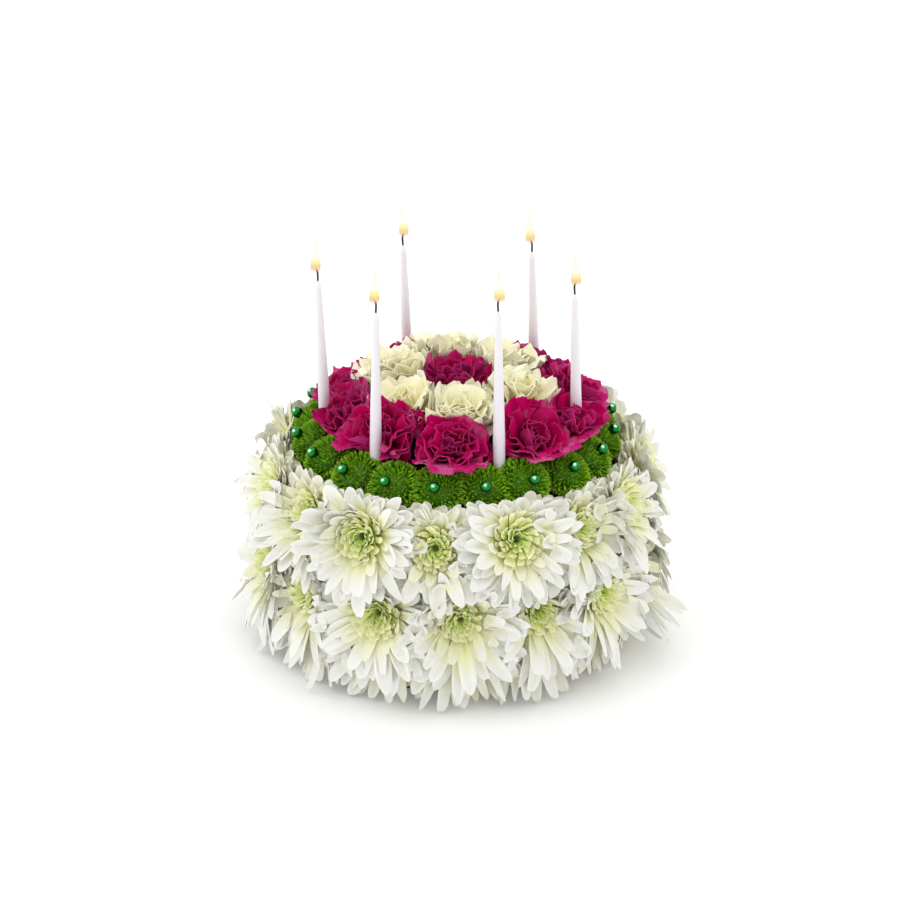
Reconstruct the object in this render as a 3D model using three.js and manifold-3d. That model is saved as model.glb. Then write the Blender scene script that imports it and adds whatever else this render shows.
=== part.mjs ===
// A floral birthday cake: a drum of floral foam dressed all round with fresh flowers, and six slim tapers.
// Millimetres, +Z up. The origin is the centre of the foam's flat underside, and the cake's front faces -Y.
// Azimuths are degrees round the axis, 0 at the front and growing towards +X.
// Every flower keeps to a cell bounded by planes, half a GAP inside each, so neighbours never overlap.
import * as THREE from 'three';
import { mergeVertices } from 'three/addons/utils/BufferGeometryUtils.js';
import Module from 'manifold-3d';

const wasm = await Module();
wasm.setup();

// ---- driving dimensions ----
// In a flower, reach is a distance from its own axis, and rise is one along it, out of the cake from its face.
const GAP = 0.4; // clearance between touching pieces
const SEED = 12;

const FOAM = { radius: 80, shoulderZ: 91, topRadius: 60, topZ: 103.5, sides: 30 };

const MUM = {
  count: 15, // in each tier
  petals: 10, // in each of its two whorls
  foot: { reach: 5, clearance: 2.4 },
  outerTip: { reach: 34, rise: 13 },
  outerNotch: { reach: 25, rise: 5 },
  fold: { reach: 15, rise: 2.5 },
  innerTip: { reach: 24, rise: 13 },
  innerNotch: { reach: 14, rise: 4 },
  buttonFoot: { reach: 11, rise: 0 },
  button: { reach: 7, rise: 4.3 },
  pit: { reach: 0, rise: 0 },
};
const TIER_SPLIT_Z = 75;
const MUM_FLOOR_Z = 1.5;
// tilt turns a mum's face up from level, and droop is how much longer its hanging petals are.
const LOWER_TIER = { name: 'mum_lower', phase: 1.5, faceRadius: 101, faceZ: 53, tilt: 4, droop: 1.45 };
const UPPER_TIER = { name: 'mum_upper', phase: -5.5, faceRadius: 99.5, faceZ: 97, tilt: 18, droop: 1 };

const POM = { count: 20, phase: -7.3, ringRadius: 77, z: 109.5, radius: 13.2, relief: 0.5, steps: 4, sides: 8 };
// Which way the other flowers lie from a pom's core, in degrees above the horizon facing out.
const MUM_SIDE_OF_POMS = -38;
const CARNATION_SIDE_OF_POMS = 135;
const PEARL = { radius: 2.8, elevation: 56, sink: 2.4 };

// Each frill wanders up and down by its ruffle, and its reach is a share of the flower's size.
const CARNATION = {
  columns: 12, // two to a ruffle
  calyx: { reach: 0.42, rise: -13, ruffle: 0 },
  skirt: { reach: 0.97, rise: -4.5, ruffle: 1.8 },
  skirtFold: { reach: 0.64, rise: -2.5, ruffle: 0 },
  frill: { reach: 0.7, rise: 2, ruffle: -1.5 },
  frillFold: { reach: 0.36, rise: 0, ruffle: 0 },
  heart: { reach: 0.28, rise: 4, ruffle: 1 },
  heartPit: { reach: 0, rise: 1.5, ruffle: 0 },
};
const OUTER_RING = { count: 10, phase: -3, faceRadius: 58, faceZ: 136, tilt: 34, footRadius: 47, size: 21 };
const INNER_RING = { count: 6, phase: 8, faceRadius: 29, faceZ: 145, tilt: 17, footRadius: 24, size: 19 };
const CENTRE = { azimuth: 0, faceRadius: 0, faceZ: 150, tilt: 0, footRadius: 0, size: 20.5 };
// Sloped boundaries between the rings: distance from the axis at the foam's top, and its growth with height.
const CENTRE_BOUNDARY = { foot: 7, slope: 0.26 };
const RING_BOUNDARY = { foot: 31, slope: 0.28 };

const CANDLE = { radius: 3.2, tipRadius: 1.7, straight: 49, cone: 3, length: 122, circle: 68, sides: 8 };
const WICK = { radius: 0.65, height: 8, bend: 1.6 };
// Placed by hand: azimuth and lean towards +X in degrees, and the height of the wax's tip.
const CANDLES = [
  { azimuth: -38, lean: 0.4, topZ: 207 },
  { azimuth: 20, lean: -0.6, topZ: 212 },
  { azimuth: 74, lean: -1.3, topZ: 203 },
  { azimuth: 139, lean: -1.5, topZ: 199 },
  { azimuth: -159, lean: -1.8, topZ: 198 },
  { azimuth: -88, lean: -2.1, topZ: 204 },
];

const FINISHES = {
  foam: { color: 0x3f6b2c, roughness: 0.95 },
  whitePetal: { color: 0xf4f4ea, roughness: 0.6 },
  pom: { color: 0x4f9a17, roughness: 0.8 },
  magentaPetal: { color: 0xa80f63, roughness: 0.65 },
  creamPetal: { color: 0xf0efc4, roughness: 0.65 },
  wax: { color: 0xf6f4f6, roughness: 0.35 },
};

// ---- small helpers ----

const radians = THREE.MathUtils.degToRad;

THREE.MathUtils.seededRandom(SEED);

// A value with a repeatable draw of up to spread added or taken away.
function vary(value, spread) {
  return value + spread * (2 * THREE.MathUtils.seededRandom() - 1);
}

// Unit vector away from the axis at an azimuth, and the one along the circle towards growing azimuth.
function outward(azimuth) {
  return new THREE.Vector3(Math.sin(radians(azimuth)), -Math.cos(radians(azimuth)), 0);
}

function alongCircle(azimuth) {
  return new THREE.Vector3(Math.cos(radians(azimuth)), Math.sin(radians(azimuth)), 0);
}

// The direction at an azimuth that stands elevation degrees above the horizon.
function slanted(azimuth, elevation) {
  const way = outward(azimuth).multiplyScalar(Math.cos(radians(elevation)));
  way.z = Math.sin(radians(elevation));
  return way;
}

function pointAt(azimuth, radius, z) {
  const point = outward(azimuth).multiplyScalar(radius);
  point.z = z;
  return point;
}

function ringAzimuths({ count, phase }) {
  return Array.from({ length: count }, (_, i) => phase + (360 / count) * i);
}

function namedMesh(name, geometry, finish) {
  const mesh = new THREE.Mesh(geometry, new THREE.MeshStandardMaterial({ ...finish, metalness: 0 }));
  mesh.name = name;
  return mesh;
}

// ---- solids for booleans ----

function withoutSeams(geometry) {
  const bare = geometry.clone();
  bare.deleteAttribute('normal');
  bare.deleteAttribute('uv');
  return mergeVertices(bare, 1e-3);
}

function solidOf(geometry) {
  const merged = withoutSeams(geometry);
  return new wasm.Manifold(new wasm.Mesh({
    numProp: 3,
    vertProperties: new Float32Array(merged.attributes.position.array),
    triVerts: new Uint32Array(merged.index.array),
  }));
}

function geometryOf(solid) {
  const mesh = solid.getMesh();
  const geometry = new THREE.BufferGeometry();
  geometry.setAttribute('position', new THREE.BufferAttribute(mesh.vertProperties, 3));
  geometry.setIndex(new THREE.BufferAttribute(mesh.triVerts, 1));
  const faceted = geometry.toNonIndexed();
  faceted.computeVertexNormals();
  return faceted;
}

// Cutting can part a scrap from a piece: only the largest body is kept.
function largestBody(solid) {
  return solid.decompose().sort((a, b) => b.volume() - a.volume())[0];
}

// ---- cells ----

// A cell is a list of planes. A point p is on a plane's inner side where normal . p <= limit.
function plane(normal, limit) {
  return { normal, limit };
}

const BELOW_SPLIT = plane(new THREE.Vector3(0, 0, 1), TIER_SPLIT_Z - GAP / 2);
const ABOVE_SPLIT = plane(new THREE.Vector3(0, 0, -1), -TIER_SPLIT_Z - GAP / 2);
const ABOVE_GROUND = plane(new THREE.Vector3(0, 0, -1), -MUM_FLOOR_Z);
const ABOVE_FOAM = plane(new THREE.Vector3(0, 0, -1), -FOAM.topZ - GAP);

// Two planes through the axis that bound one of count equal sectors.
function sectorPlanes(azimuth, count) {
  return [
    plane(alongCircle(azimuth + 180 / count), -GAP / 2),
    plane(alongCircle(azimuth - 180 / count).negate(), -GAP / 2),
  ];
}

// The sloped plane between two rings of flowers, facing out at an azimuth. side is 1 for the flowers within it
// and -1 for those outside.
function ringPlane(azimuth, boundary, side) {
  const normal = outward(azimuth);
  normal.z = -boundary.slope;
  const scale = normal.length();
  const limit = (boundary.foot - boundary.slope * FOAM.topZ) / scale;
  return plane(normal.divideScalar(scale).multiplyScalar(side), side * limit - GAP / 2);
}

// The plane that just clears the ring of poms across one of count sectors, for the flowers on the given side.
function pomPlane(azimuth, count, side) {
  const way = slanted(azimuth, side);
  const nearest = side > 90 ? Math.cos(Math.PI / count) : 1;
  const core = pointAt(azimuth, POM.ringRadius * nearest, POM.z);
  return plane(way.clone().negate(), -way.dot(core) - POM.radius - POM.relief - GAP);
}

// Pulls a point towards an anchor, which is inside the cell, until it is inside too.
function pullInside(point, anchor, cell) {
  const way = point.clone().sub(anchor);
  let share = 1;
  for (const { normal, limit } of cell) {
    const speed = normal.dot(way);
    if (speed > 0) share = Math.min(share, (limit - normal.dot(anchor)) / speed);
  }
  return anchor.clone().addScaledVector(way, Math.max(share, 0));
}

// ---- flower heads ----

// The frame of a flower whose axis stands elevation degrees above the horizon at an azimuth.
function flowerFrame(face, azimuth, elevation) {
  const axis = slanted(azimuth, elevation);
  const right = alongCircle(azimuth);
  return { face, axis, right, up: new THREE.Vector3().crossVectors(axis, right) };
}

// A closed head round its own axis. rings run from the back pole to the front pole, and each holds one
// {reach, rise} for every column. The cell bounds the head, and droop lengthens what hangs below its face.
function flowerHead(rings, frame, cell, droop = 1) {
  const columns = rings[0].length;
  const geometry = new THREE.LatheGeometry(rings.map((ring, j) => new THREE.Vector2(ring[0].reach, j)), columns);
  const position = geometry.attributes.position;
  const spin = vary(0, Math.PI);
  for (let i = 0; i <= columns; i += 1) {
    const turn = (2 * Math.PI * (i % columns)) / columns + spin;
    const lift = Math.sin(turn) * (Math.sin(turn) < 0 ? droop : 1);
    for (let j = 0; j < rings.length; j += 1) {
      const { reach, rise } = rings[j][i % columns];
      const anchor = frame.face.clone().addScaledVector(frame.axis, rise);
      const point = anchor.clone()
        .addScaledVector(frame.right, reach * Math.cos(turn))
        .addScaledVector(frame.up, reach * lift);
      const placed = pullInside(point, anchor, cell);
      position.setXYZ(i * rings.length + j, placed.x, placed.y, placed.z);
    }
  }
  geometry.computeVertexNormals();
  return geometry;
}

// ---- foam ----

function foamCore() {
  const drum = new THREE.LatheGeometry([
    new THREE.Vector2(0, 0),
    new THREE.Vector2(FOAM.radius, 0),
    new THREE.Vector2(FOAM.radius, FOAM.shoulderZ),
    new THREE.Vector2(FOAM.topRadius, FOAM.topZ),
    new THREE.Vector2(0, FOAM.topZ),
  ], FOAM.sides);
  return namedMesh('foam_core', geometryOf(clearOfCandles(solidOf(drum.rotateX(Math.PI / 2)))), FINISHES.foam);
}

// ---- white chrysanthemums ----

// A mum's rings from back to front. Its columns are by turns an outer petal and an inner one.
function mumRings(footDepth) {
  const ring = (even, odd, spread) => Array.from({ length: 2 * MUM.petals }, (_, column) => {
    const { reach, rise } = column % 2 ? odd : even;
    return { reach: vary(reach, spread), rise: vary(rise, spread) };
  });
  const plain = (point) => ring(point, point, 0);
  return [
    plain({ reach: 0, rise: -footDepth }),
    plain({ reach: MUM.foot.reach, rise: MUM.foot.clearance - footDepth }),
    ring(MUM.outerTip, MUM.outerNotch, 1.5),
    plain(MUM.fold),
    ring(MUM.innerNotch, MUM.innerTip, 1),
    plain(MUM.buttonFoot),
    ring(MUM.button, MUM.button, 0.5),
    plain(MUM.pit),
  ];
}

function mum(tier, heightPlane, azimuth, index) {
  const tilt = vary(tier.tilt, 3);
  const faceRadius = vary(tier.faceRadius, 1);
  const frame = flowerFrame(pointAt(azimuth, faceRadius, vary(tier.faceZ, 1.5)), azimuth, tilt);
  const footDepth = (faceRadius - FOAM.radius - GAP) / Math.cos(radians(tilt));
  const cell = [
    ...sectorPlanes(azimuth, MUM.count),
    pomPlane(azimuth, MUM.count, MUM_SIDE_OF_POMS),
    heightPlane,
    ABOVE_GROUND,
  ];
  const geometry = flowerHead(mumRings(footDepth), frame, cell, tier.droop);
  return namedMesh(`${tier.name}_${index + 1}`, geometry, FINISHES.whitePetal);
}

function mumTier(tier, heightPlane) {
  const azimuths = ringAzimuths({ count: MUM.count, phase: tier.phase });
  return azimuths.map((azimuth, i) => mum(tier, heightPlane, azimuth, i));
}

// ---- green poms, each with a pearl-headed pin ----

// A ring that swells into one ball for each pom, its surface standing in and out like florets.
function pomRope() {
  const torus = new THREE.TorusGeometry(POM.ringRadius, POM.radius, POM.sides, POM.count * POM.steps);
  const rope = withoutSeams(torus.rotateZ(radians(POM.phase - 90)));
  const position = rope.attributes.position;
  const stepAngle = 360 / (POM.count * POM.steps);
  for (let i = 0; i < position.count; i += 1) {
    const point = new THREE.Vector3().fromBufferAttribute(position, i);
    const azimuth = THREE.MathUtils.radToDeg(Math.atan2(point.x, -point.y));
    const step = THREE.MathUtils.euclideanModulo(Math.round((azimuth - POM.phase) / stepAngle), POM.steps);
    const stepsFromMiddle = Math.min(step, POM.steps - step);
    const along = POM.ringRadius * Math.sin(radians(stepAngle * stepsFromMiddle));
    const core = pointAt(azimuth, POM.ringRadius, 0);
    point.sub(core).setLength(vary(Math.sqrt(POM.radius ** 2 - along ** 2), POM.relief)).add(core);
    position.setXYZ(i, point.x, point.y, point.z + POM.z);
  }
  return solidOf(rope);
}

function pearl(azimuth) {
  const seat = slanted(azimuth, PEARL.elevation).multiplyScalar(POM.radius + PEARL.radius - PEARL.sink);
  seat.add(pointAt(azimuth, POM.ringRadius, POM.z));
  return solidOf(new THREE.IcosahedronGeometry(PEARL.radius, 0).translate(seat.x, seat.y, seat.z));
}

function pomRing() {
  const ring = ringAzimuths(POM).reduce((solid, azimuth) => solid.add(pearl(azimuth)), pomRope());
  return namedMesh('pom_ring', geometryOf(largestBody(clearOfCandles(ring))), FINISHES.pom);
}

// ---- carnations ----

// A carnation's rings from back to front, its frills rising and falling from column to column.
function carnationRings(size, footDepth) {
  const ring = (point, spread) => Array.from({ length: CARNATION.columns }, (_, column) => ({
    reach: vary(size * point.reach, spread),
    rise: vary(point.rise + (column % 2 ? point.ruffle : -point.ruffle), spread),
  }));
  return [
    ring({ reach: 0, rise: -footDepth, ruffle: 0 }, 0),
    ring(CARNATION.calyx, 0),
    ring(CARNATION.skirt, 0.8),
    ring(CARNATION.skirtFold, 0),
    ring(CARNATION.frill, 0.8),
    ring(CARNATION.frillFold, 0),
    ring(CARNATION.heart, 0.6),
    ring(CARNATION.heartPit, 0),
  ];
}

function carnation(name, finish, { azimuth, faceRadius, faceZ, tilt, footRadius, size }, cell) {
  const face = pointAt(azimuth, faceRadius, faceZ);
  const footDepth = face.distanceTo(pointAt(azimuth, footRadius, FOAM.topZ + GAP));
  const frame = flowerFrame(face, azimuth, 90 - tilt);
  const head = flowerHead(carnationRings(size, footDepth), frame, [...cell, ABOVE_FOAM]);
  return namedMesh(name, geometryOf(largestBody(clearOfCandles(solidOf(head)))), finish);
}

function outerCarnation(azimuth, index) {
  const cell = [
    ...sectorPlanes(azimuth, OUTER_RING.count),
    ringPlane(azimuth, RING_BOUNDARY, -1),
    pomPlane(azimuth, OUTER_RING.count, CARNATION_SIDE_OF_POMS),
  ];
  return carnation(`carnation_magenta_${index + 1}`, FINISHES.magentaPetal, { ...OUTER_RING, azimuth }, cell);
}

function innerCarnation(azimuth, index) {
  const cell = [
    ...sectorPlanes(azimuth, INNER_RING.count),
    ringPlane(azimuth, CENTRE_BOUNDARY, -1),
    ...ringAzimuths(OUTER_RING).map((outer) => ringPlane(outer, RING_BOUNDARY, 1)),
  ];
  return carnation(`carnation_cream_${index + 1}`, FINISHES.creamPetal, { ...INNER_RING, azimuth }, cell);
}

function centreCarnation() {
  const cell = ringAzimuths(INNER_RING).map((inner) => ringPlane(inner, CENTRE_BOUNDARY, 1));
  return carnation('carnation_centre', FINISHES.magentaPetal, CENTRE, cell);
}

// ---- candles ----

// Stands a shape made round +Y, with its foot at y 0, on a candle's place, leaning as that candle does.
function standCandle(geometry, { azimuth, lean, topZ }) {
  const foot = pointAt(azimuth, CANDLE.circle, topZ - CANDLE.length);
  return geometry.rotateX(Math.PI / 2).rotateY(radians(lean)).translate(foot.x, foot.y, foot.z);
}

// Cuts the room that the candles take up out of the foam or a flower.
function clearOfCandles(solid) {
  return CANDLES.reduce((rest, placement) => {
    const radius = CANDLE.radius + GAP;
    const room = new THREE.CylinderGeometry(radius, radius, CANDLE.length + GAP, CANDLE.sides);
    room.translate(0, (CANDLE.length - GAP) / 2, 0);
    return rest.subtract(solidOf(standCandle(room, placement)));
  }, solid);
}

// A taper that narrows above its straight foot to a small cone, and the wick that bends over above it.
function candle(placement, index) {
  const taper = new THREE.LatheGeometry([
    new THREE.Vector2(0, 0),
    new THREE.Vector2(CANDLE.radius, 0),
    new THREE.Vector2(CANDLE.radius, CANDLE.straight),
    new THREE.Vector2(CANDLE.tipRadius, CANDLE.length - CANDLE.cone),
    new THREE.Vector2(0, CANDLE.length),
  ], CANDLE.sides);
  const wickLine = new THREE.CatmullRomCurve3([
    new THREE.Vector3(0, CANDLE.length - CANDLE.cone, 0),
    new THREE.Vector3(0, CANDLE.length + WICK.height / 2, 0),
    new THREE.Vector3(index % 2 ? WICK.bend : -WICK.bend, CANDLE.length + WICK.height, 0),
  ]);
  const section = new THREE.Shape().absarc(0, 0, WICK.radius, 0, 2 * Math.PI);
  const wick = new THREE.ExtrudeGeometry(section, { steps: 4, curveSegments: 3, extrudePath: wickLine });
  const joined = solidOf(standCandle(taper, placement)).add(solidOf(standCandle(wick, placement)));
  return namedMesh(`candle_${index + 1}`, geometryOf(joined), FINISHES.wax);
}

// ---- the whole cake ----

const cake = new THREE.Group();
cake.name = 'floral_birthday_cake';
cake.add(
  foamCore(),
  ...mumTier(LOWER_TIER, BELOW_SPLIT),
  ...mumTier(UPPER_TIER, ABOVE_SPLIT),
  pomRing(),
  ...ringAzimuths(OUTER_RING).map(outerCarnation),
  ...ringAzimuths(INNER_RING).map(innerCarnation),
  centreCarnation(),
  ...CANDLES.map(candle),
);

export default cake;
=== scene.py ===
"""A floral birthday cake: two tiers of white chrysanthemums, green poms with pearl pins, carnations, tapers.

Metres, +Z up, the front facing -Y. Azimuths are degrees round the axis, 0 at the front, growing towards +X.
A petal, floret, pin or taper is modelled once with Blender's own tools as a stock, lying along +X or
standing on +Z. Each flower then grows its own copies of the stocks, no two of them bent the same way.
"""

import logging
import math
from collections.abc import Sequence
from dataclasses import dataclass, field, fields
from enum import Enum
from typing import ClassVar

import bpy
import numpy as np
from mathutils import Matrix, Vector


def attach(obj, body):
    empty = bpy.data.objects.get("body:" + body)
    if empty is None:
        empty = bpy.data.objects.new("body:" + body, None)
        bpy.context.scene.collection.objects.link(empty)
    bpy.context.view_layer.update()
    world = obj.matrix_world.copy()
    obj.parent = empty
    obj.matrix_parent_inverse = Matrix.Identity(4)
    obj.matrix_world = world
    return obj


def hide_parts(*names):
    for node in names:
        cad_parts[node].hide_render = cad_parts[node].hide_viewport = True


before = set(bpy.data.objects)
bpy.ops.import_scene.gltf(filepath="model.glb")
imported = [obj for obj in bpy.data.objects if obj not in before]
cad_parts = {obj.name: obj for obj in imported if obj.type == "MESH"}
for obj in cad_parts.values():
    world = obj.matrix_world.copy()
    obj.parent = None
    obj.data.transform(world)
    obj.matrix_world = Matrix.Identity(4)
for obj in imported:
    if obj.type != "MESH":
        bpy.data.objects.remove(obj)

log = logging.getLogger("floral_cake")

Triple = tuple[float, float, float]
Colour = Triple
Array = np.ndarray
Piece = bpy.types.Object
Material = bpy.types.Material
Socket = bpy.types.NodeSocket
Node = bpy.types.Node
NodeTree = bpy.types.NodeTree
Z = np.array([0.0, 0.0, 1.0])
LEVEL = np.array([1.0, 1.0, 0.0])


# ---- small helpers ----


def srgb(red: int, green: int, blue: int) -> Colour:
    """Turns a screen colour into the linear one that shaders take.

    Args:
        red: Red, 0 to 255.
        green: Green, 0 to 255.
        blue: Blue, 0 to 255.

    Returns:
        The three linear values.
    """

    def linear(level: int) -> float:
        """One channel."""
        share = level / 255
        return share / 12.92 if share <= 0.04045 else ((share + 0.055) / 1.055) ** 2.4

    return linear(red), linear(green), linear(blue)


def outward(azimuth: float) -> Array:
    """The unit vector away from the cake's axis at an azimuth."""
    turn = math.radians(azimuth)
    return np.array([math.sin(turn), -math.cos(turn), 0.0])


def ring_azimuths(count: int, phase: float) -> list[float]:
    """The azimuths of an even ring.

    Args:
        count: How many there are.
        phase: The first one.

    Returns:
        One azimuth for each.
    """
    return [phase + 360 * i / count for i in range(count)]


def smooth_step(value: Array, start: float, end: float) -> Array:
    """Eases from 0 at start to 1 at end.

    Args:
        value: What is eased.
        start: Where it leaves 0.
        end: Where it reaches 1.

    Returns:
        The eased shares.
    """
    share = np.clip((value - start) / (end - start), 0.0, 1.0)
    return share * share * (3 - 2 * share)


def held_softly(past: Array, soft: float) -> Array:
    """How far back points are moved that pass a limit, so that they crumple up to soft beyond it.

    Args:
        past: How far past the limit they are.
        soft: The most that they may stay past it.

    Returns:
        How far back they go.
    """
    return past - soft * (1 - np.exp(-np.maximum(past, 0.0) / soft))


def deselect_all() -> None:
    """Leaves nothing selected, in object mode."""
    if bpy.context.object is not None and bpy.context.object.mode != "OBJECT":
        bpy.ops.object.mode_set(mode="OBJECT")
    bpy.ops.object.select_all(action="DESELECT")


def edit_all() -> None:
    """Goes into edit mode with everything selected."""
    bpy.ops.object.mode_set(mode="EDIT")
    bpy.ops.mesh.select_all(action="SELECT")


def put_in_scene(name: str, data: bpy.types.ID) -> Piece:
    """Makes an object of a mesh, a light or a camera, and links it."""
    obj = bpy.data.objects.new(name, data)
    bpy.context.scene.collection.objects.link(obj)
    return obj


# ---- stocks: what is modelled once ----


@dataclass(frozen=True)
class Stock:
    """A form modelled once, as the points and faces that each copy of it starts from.

    A petal stock lies along +X from its foot at 0 to its tip at 1. It is 1 wide to each side in Y where it is
    widest, and 1 thick to each side in Z where it is thickest.
    """

    points: Array
    corners: Array
    starts: Array

    @classmethod
    def take(cls, obj: Piece) -> "Stock":
        """Reads a modelled object, and removes it.

        Args:
            obj: The object.

        Returns:
            Its points and faces.
        """
        deselect_all()
        mesh = obj.data
        points = np.empty(len(mesh.vertices) * 3)
        mesh.vertices.foreach_get("co", points)
        corners = np.empty(len(mesh.loops), int)
        mesh.loops.foreach_get("vertex_index", corners)
        starts = np.empty(len(mesh.polygons), int)
        mesh.polygons.foreach_get("loop_start", starts)
        bpy.data.objects.remove(obj)
        bpy.data.meshes.remove(mesh)
        return cls(points.reshape(-1, 3), corners, starts)

    @property
    def along(self) -> Array:
        """How far each point is from the foot, as a share of the length."""
        return np.clip(self.points[:, 0], 0.0, 1.0)

    @property
    def across(self) -> Array:
        """How far each point is to the side, as a share of its own station's half width."""
        reach = np.empty(len(self.points))
        for station in np.unique(self.along.round(5)):
            here = np.abs(self.along - station) < 1e-4
            reach[here] = max(np.abs(self.points[here, 1]).max(), 1e-6)
        return self.points[:, 1] / reach


@dataclass(frozen=True)
class Station:
    """One place along a stock: how far along, and how wide and thick it is there."""

    along: float
    width: float
    depth: float

    @classmethod
    def row(cls, *places: Triple) -> "list[Station]":
        """Stations from foot to tip, each given by its three values."""
        return [cls(*place) for place in places]


def close_form(pointed: bool = False) -> Stock:
    """Ends the modelling of a closed form, and takes it.

    Args:
        pointed: Whether its last ring, which is selected, is drawn together into a point.

    Returns:
        The stock, its faces turned outwards.
    """
    if pointed:
        bpy.ops.mesh.merge(type="CENTER")
    bpy.ops.mesh.select_all(action="SELECT")
    bpy.ops.mesh.normals_make_consistent(inside=False)
    bpy.ops.object.mode_set(mode="OBJECT")
    return Stock.take(bpy.context.object)


def loft(sides: int, stations: Sequence[Station], pointed: bool = False) -> Stock:
    """Models a closed blade: a flattened ring, extruded and resized from station to station.

    Args:
        sides: How many sides the ring has.
        stations: The stations, from foot to tip.
        pointed: Whether the last ring is drawn together into a point.

    Returns:
        The stock.
    """
    deselect_all()
    last = stations[0]
    bpy.ops.mesh.primitive_circle_add(
        vertices=sides, radius=1.0, fill_type="NGON", rotation=(0.0, math.pi / 2, 0.0)
    )
    bpy.ops.object.transform_apply(location=False, rotation=True, scale=False)
    edit_all()
    bpy.ops.transform.resize(value=(1.0, last.width, last.depth), center_override=(0.0, 0.0, 0.0))
    for station in stations[1:]:
        step = station.along - last.along
        bpy.ops.mesh.extrude_region_move(TRANSFORM_OT_translate={"value": (step, 0.0, 0.0)})
        bpy.ops.transform.resize(
            value=(1.0, station.width / last.width, station.depth / last.depth),
            center_override=(station.along, 0.0, 0.0),
        )
        last = station
    return close_form(pointed)


# How wide a carnation's petal is along it, both as shares, and how its rows of cells crowd towards its rim.
FAN_ALONG = (0.0, 0.25, 0.45, 0.65, 0.82, 1.0)
FAN_WIDTH = (0.12, 0.22, 0.5, 0.82, 0.98, 1.0)
FAN_CROWDING = 1.5


def fan_sheet(columns: int, rows: int) -> Stock:
    """Models a carnation petal's stock: a grid drawn into a fan, given two faces and a rim by Solidify.

    Args:
        columns: How many cells there are across it.
        rows: How many cells there are along it.

    Returns:
        The stock.
    """
    deselect_all()
    bpy.ops.mesh.primitive_grid_add(x_subdivisions=rows, y_subdivisions=columns, size=2.0)
    sheet = bpy.context.object
    edit_all()
    bpy.ops.transform.translate(value=(1.0, 0.0, 0.0))
    bpy.ops.transform.resize(value=(0.5, 1.0, 1.0), center_override=(0.0, 0.0, 0.0))
    bpy.ops.object.mode_set(mode="OBJECT")
    for vertex in sheet.data.vertices:
        vertex.co.x = 1 - (1 - vertex.co.x) ** FAN_CROWDING
        vertex.co.y *= np.interp(vertex.co.x, FAN_ALONG, FAN_WIDTH)
    bpy.ops.object.modifier_add(type="SOLIDIFY")
    wall = sheet.modifiers[-1]
    wall.thickness = 2.0
    wall.offset = 0.0
    bpy.ops.object.modifier_apply(modifier=wall.name)
    return Stock.take(sheet)


def ball(segments: int, rings: int) -> Stock:
    """Models a ball of radius 1 round the origin, its poles on Z."""
    deselect_all()
    bpy.ops.mesh.primitive_uv_sphere_add(segments=segments, ring_count=rings, radius=1.0)
    return Stock.take(bpy.context.object)


def button_core() -> Stock:
    """Models the button under a chrysanthemum's florets: a ball pressed flat, a pit drawn into its top."""
    flat, pit = 0.55, 0.6
    deselect_all()
    bpy.ops.mesh.primitive_uv_sphere_add(segments=18, ring_count=12, radius=1.0)
    core = bpy.context.object
    edit_all()
    bpy.ops.transform.resize(value=(1.0, 1.0, flat), center_override=(0.0, 0.0, 0.0))
    bpy.ops.object.mode_set(mode="OBJECT")
    for vertex in core.data.vertices:
        reach = math.hypot(vertex.co.x, vertex.co.y)
        if vertex.co.z > 0 and reach < pit:
            vertex.co.z -= pit * (1 - reach / pit)
    return Stock.take(core)


# ---- growing ----

# How many steps a petal's middle is followed in.
BEND_STEPS = 32
# The fine ripples on a ruffled rim: their height and number as shares of the waves', and where they start.
RIPPLE_HEIGHT = 0.3
RIPPLE_PACE = 2.6
RIPPLE_START = 1.0
# How far to each side a petal's two ridges stand, as a share of half its width.
RIDGE_ACROSS = 0.707

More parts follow.
